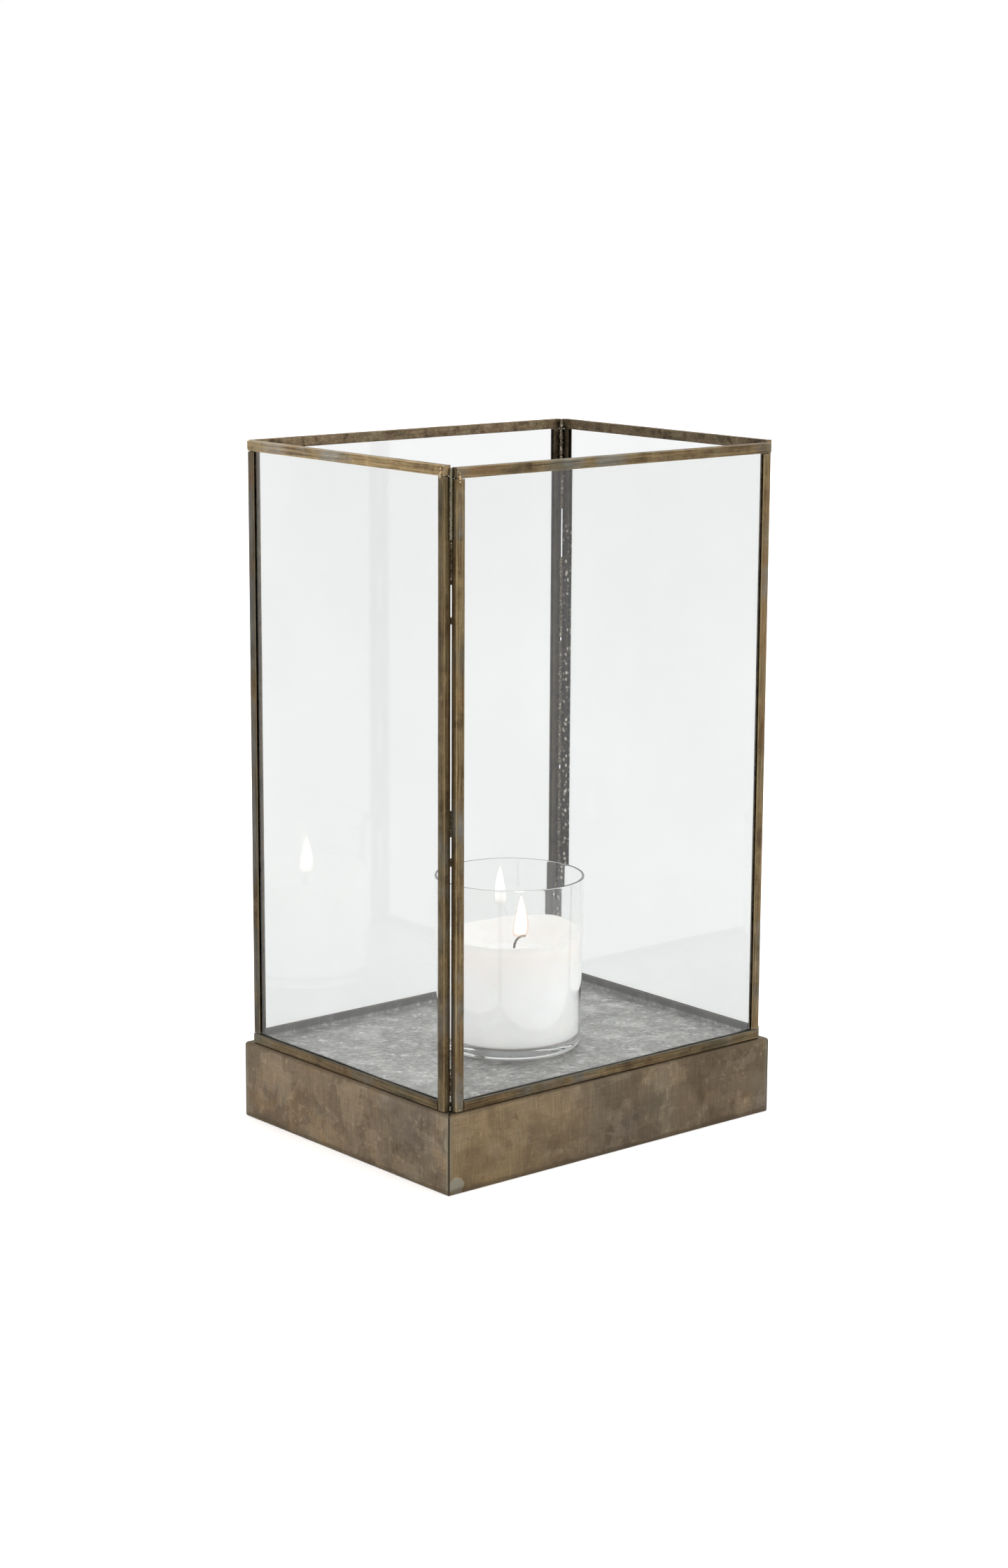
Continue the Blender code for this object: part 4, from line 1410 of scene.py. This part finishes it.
def makeTwistedWick():
    inputs = {
        "Route": ("Geometry", None),
        "Strands": ("Int", 3),
        "Strand Radius": ("Float", 0.0005),
        "Twist Radius": ("Float", 0.0005),
        "Turns": ("Float", 6.0),
        "Material": ("Material", None),
    }
    tree, entry, leave = newTree("GeometryNodeTree", "twistedWick", inputs, {"Wick": "Geometry"})
    route = addNode(tree, "GeometryNodeMeshToCurve", {0: entry["Route"]}).outputs[0]
    route = addNode(tree, "GeometryNodeResampleCurve", {"Curve": route, "Count": 90}).outputs[0]
    copies = addNode(tree, "GeometryNodeDuplicateElements", {"Amount": entry["Strands"]}, domain="SPLINE")
    tree.links.new(route, copies.inputs["Geometry"])
    share = tree.nodes.new("GeometryNodeSplineParameter").outputs["Factor"]
    turn = times(tree, times(tree, share, entry["Turns"]), 2 * math.pi)
    start = times(tree, copies.outputs["Duplicate Index"], 2 * math.pi)
    angle = plus(tree, turn, calc(tree, "DIVIDE", start, entry["Strands"]))
    normal = tree.nodes.new("GeometryNodeInputNormal").outputs[0]
    tangent = tree.nodes.new("GeometryNodeInputTangent").outputs[0]
    side = vectorCalc(tree, "CROSS_PRODUCT", tangent, normal)
    cosine = times(tree, calc(tree, "COSINE", angle), entry["Twist Radius"])
    sine = times(tree, calc(tree, "SINE", angle), entry["Twist Radius"])
    first = vectorCalc(tree, "MULTIPLY", normal, triple(tree, cosine))
    second = vectorCalc(tree, "MULTIPLY", side, triple(tree, sine))
    sockets = {"Geometry": copies.outputs["Geometry"], "Offset": vectorCalc(tree, "ADD", first, second)}
    strands = addNode(tree, "GeometryNodeSetPosition", sockets)
    sockets = {"Resolution": 10, "Radius": entry["Strand Radius"]}
    circle = addNode(tree, "GeometryNodeCurvePrimitiveCircle", sockets)
    sockets = {"Curve": strands.outputs[0], "Profile Curve": circle.outputs[0], "Fill Caps": True}
    shape = addNode(tree, "GeometryNodeCurveToMesh", sockets).outputs[0]
    tree.links.new(finishShape(tree, shape, entry["Material"]), leave["Wick"])
    return tree


wickShape = {
    "strands": 3,
    "rootDepth": 0.005,
    "strandRadius": 0.00034,
    "twistRadius": 0.00030,
    "turns": 9.0,
    "lean": 0.0020,
    "leanHeight": 0.0075,
    "curlRadius": 0.0050,
    "curlStretch": 1.25,
    "curlEnd": 100.0,
    "azimuth": -40.0,
}


def braidedWick(centre, poolZ, material):
    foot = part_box("wick")[0].z
    bend = poolZ - wickShape["rootDepth"]
    route = [(0.0, foot), (0.0, (foot + bend) / 2), (0.0, bend)]
    lean, leanHeight, curl = wickShape["lean"], wickShape["leanHeight"], wickShape["curlRadius"]
    for i in range(1, 10):
        t = i / 9
        route.append((lean * t * t * (3 - 2 * t), bend + leanHeight * t))
    for i in range(1, 13):
        angle = math.radians(wickShape["curlEnd"]) * i / 12
        rise = wickShape["curlStretch"] * curl * math.sin(angle)
        route.append((lean + curl * (1 - math.cos(angle)), bend + leanHeight + rise))
    azimuth = math.radians(wickShape["azimuth"])
    verts = [(centre.x + r * math.cos(azimuth), centre.y + r * math.sin(azimuth), z) for r, z in route]
    mesh = bpy.data.meshes.new("route")
    mesh.from_pydata(verts, [(i, i + 1) for i in range(len(verts) - 1)], [])
    values = {
        "Strands": wickShape["strands"],
        "Strand Radius": wickShape["strandRadius"],
        "Twist Radius": wickShape["twistRadius"],
        "Turns": wickShape["turns"],
        "Material": material,
    }
    braid = grow("wick_braid", makeTwistedWick(), values, mesh)
    braid.shade_smooth()
    keep("wick_braid", braid, "candle", ["wick"])
    print("wick braided")
    return max(v.co.z for v in braid.vertices)


flame = {
    "offset": 0.0049,
    "azimuth": -40.0,
    "height": 0.0206,
    "radius": 0.0031,
    "veilScale": 1.3,
    "veilTaller": 0.0016,
    "veilDrop": 0.0012,
    "seat": 0.0002,
    "fullness": 1.72,
    "footPower": 0.22,
    "tipPower": 0.85,
    "lean": 0.0008,
    "drift": 0.0003,
    "rows": 24,
    "steps": 40,
}


def flameShell(name, base, height, radius, material):
    profile = [(0.0, 0.0)]
    for i in range(1, flame["rows"]):
        t = i / flame["rows"]
        girth = flame["fullness"] * t ** flame["footPower"] * (1 - t) ** flame["tipPower"]
        profile.append((radius * girth, height * t))
    profile.append((0.0, height))
    mesh = lathe(name, profile, base, flame["steps"], 60)
    for vert in mesh.vertices:
        rise = (vert.co.z - base.z) / height
        vert.co.x += flame["lean"] * math.sin(rise * 2.6)
        vert.co.y -= flame["drift"] * rise * rise
    shell = keep(name, mesh, "candle", [], material)
    shell.visible_diffuse = False  # the wax carries a painted glow in place of the flame's light on it


def candleFlame(centre, wickTop):
    azimuth = math.radians(flame["azimuth"])
    low = wickTop - flame["seat"]
    x = centre.x + flame["offset"] * math.cos(azimuth)
    y = centre.y + flame["offset"] * math.sin(azimuth)
    core = flameLight("flame_core_light", low, low + 0.006, False)
    veil = flameLight("flame_veil_light", low, low + 0.02, True)
    height, radius = flame["height"], flame["radius"]
    flameShell("flame_core", Vector((x, y, low)), height, radius, core)
    base = Vector((x, y, low - flame["veilDrop"]))
    flameShell("flame_veil", base, height + flame["veilTaller"], radius * flame["veilScale"], veil)
    print("flame lit")


# floor, light and camera

studio = {
    "floorReach": 14.0,
    "floorSeen": 1.50,
    "floorOther": 0.97,
    "skyLow": 0.94,
    "skyHigh": 1.16,
    "keyPower": 5.0,
    "keySize": 0.9,
    "keyPlace": (1.3, -1.5, 1.5),
    "keyAim": (0.0, 0.0, 0.1),
}
shot = {
    "place": (-1.0090, -1.1894, 0.4942),
    "pitch": 78.431,
    "heading": -40.214,
    "roll": 0.279,
    "lens": 71.69,
}


def paleFloor():
    bm = bmesh.new()
    bmesh.ops.create_grid(bm, x_segments=4, y_segments=4, size=studio["floorReach"])
    mesh = bpy.data.meshes.new("pale_floor")
    bm.to_mesh(mesh)
    bm.free()
    floor = bpy.data.objects.new("pale_floor", mesh)
    scene.collection.objects.link(floor)
    material, tree, shader = newMaterial("floor_paper")
    tree.nodes.remove(shader)
    seen = addNode(tree, "ShaderNodeLightPath").outputs["Is Camera Ray"]
    speckle = noiseAt(tree, objectCoords(tree), 3.0, 0.5, scale=40.0)
    bright = studio["floorSeen"]
    plain = studio["floorOther"]
    tone = mixColour(tree, seen, (plain, plain, plain, 1), (bright, bright, bright, 1))
    tone = mixColour(tree, times(tree, speckle, 0.01), tone, (0.9, 0.9, 0.9, 1))
    diffuse = addNode(tree, "ShaderNodeBsdfDiffuse", {"Color": tone})
    tree.links.new(diffuse.outputs[0], tree.nodes["Material Output"].inputs["Surface"])
    mesh.materials.append(material)


def softSky():
    world = bpy.data.worlds.new("soft_sky")
    scene.world = world
    world.use_nodes = True
    tree = world.node_tree
    background = tree.nodes["Background"]
    direction = tree.nodes.new("ShaderNodeTexCoord").outputs["Generated"]
    x, y = splitXyz(tree, direction)[:2]
    sideways = minus(tree, times(tree, x, 0.76), times(tree, y, 0.65))
    share = fade(tree, sideways, -1.0, 0.8)
    level = mixValue(tree, share, studio["skyLow"], studio["skyHigh"])
    seen = addNode(tree, "ShaderNodeLightPath").outputs["Is Camera Ray"]
    level = mixValue(tree, seen, level, 1.0)
    plug(tree, triple(tree, level), background.inputs["Color"])


def keyLight():
    data = bpy.data.lights.new("softbox", "AREA")
    data.shape = "DISK"
    data.size = studio["keySize"]
    data.energy = studio["keyPower"]
    light = bpy.data.objects.new("softbox", data)
    light.location = studio["keyPlace"]
    aim = Vector(studio["keyAim"]) - Vector(studio["keyPlace"])
    light.rotation_euler = aim.to_track_quat("-Z", "Y").to_euler()
    scene.collection.objects.link(light)


def camera():
    data = bpy.data.cameras.new("camera")
    data.lens = shot["lens"]
    data.sensor_width = 36.0
    data.clip_start = 0.01
    data.clip_end = 100.0
    eye = bpy.data.objects.new("camera", data)
    scene.collection.objects.link(eye)
    matrix = Matrix.Translation(shot["place"])
    for turn, axis in (("heading", "Z"), ("pitch", "X"), ("roll", "Z")):
        matrix = matrix @ Matrix.Rotation(math.radians(shot[turn]), 4, axis)
    eye.matrix_world = matrix
    scene.camera = eye


paleFloor()
softSky()
keyLight()
camera()
print("studio ready")

cameStrips(cameBrass())
plinthPlates(plinthBrass())
zincTray(trayZinc(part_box("tray")[0].z))
panes(clearGlass("pane_clear", paneGlass))
insideSeams(solderMetal("solder_inside", insideSolder))
outsideSeams(solderMetal("solder_notch", notchSolder), solderMetal("solder_joint", jointSolder))
centre, tall, topRadius = cupMeasures()
waxTop = centre.z + waxShape["height"]
glassCup(clearGlass("cup_clear", cupGlass))
waxFill(candleWax(centre, waxTop, topRadius - cup["wall"], waxShape["poolRadius"]))
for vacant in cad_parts["wick_tab"].material_slots:
    vacant.material = pressedSteel()
wickTop = braidedWick(centre, centre.z + waxShape["poolHeight"], charredWick())
candleFlame(centre, wickTop)
print("all pieces made")
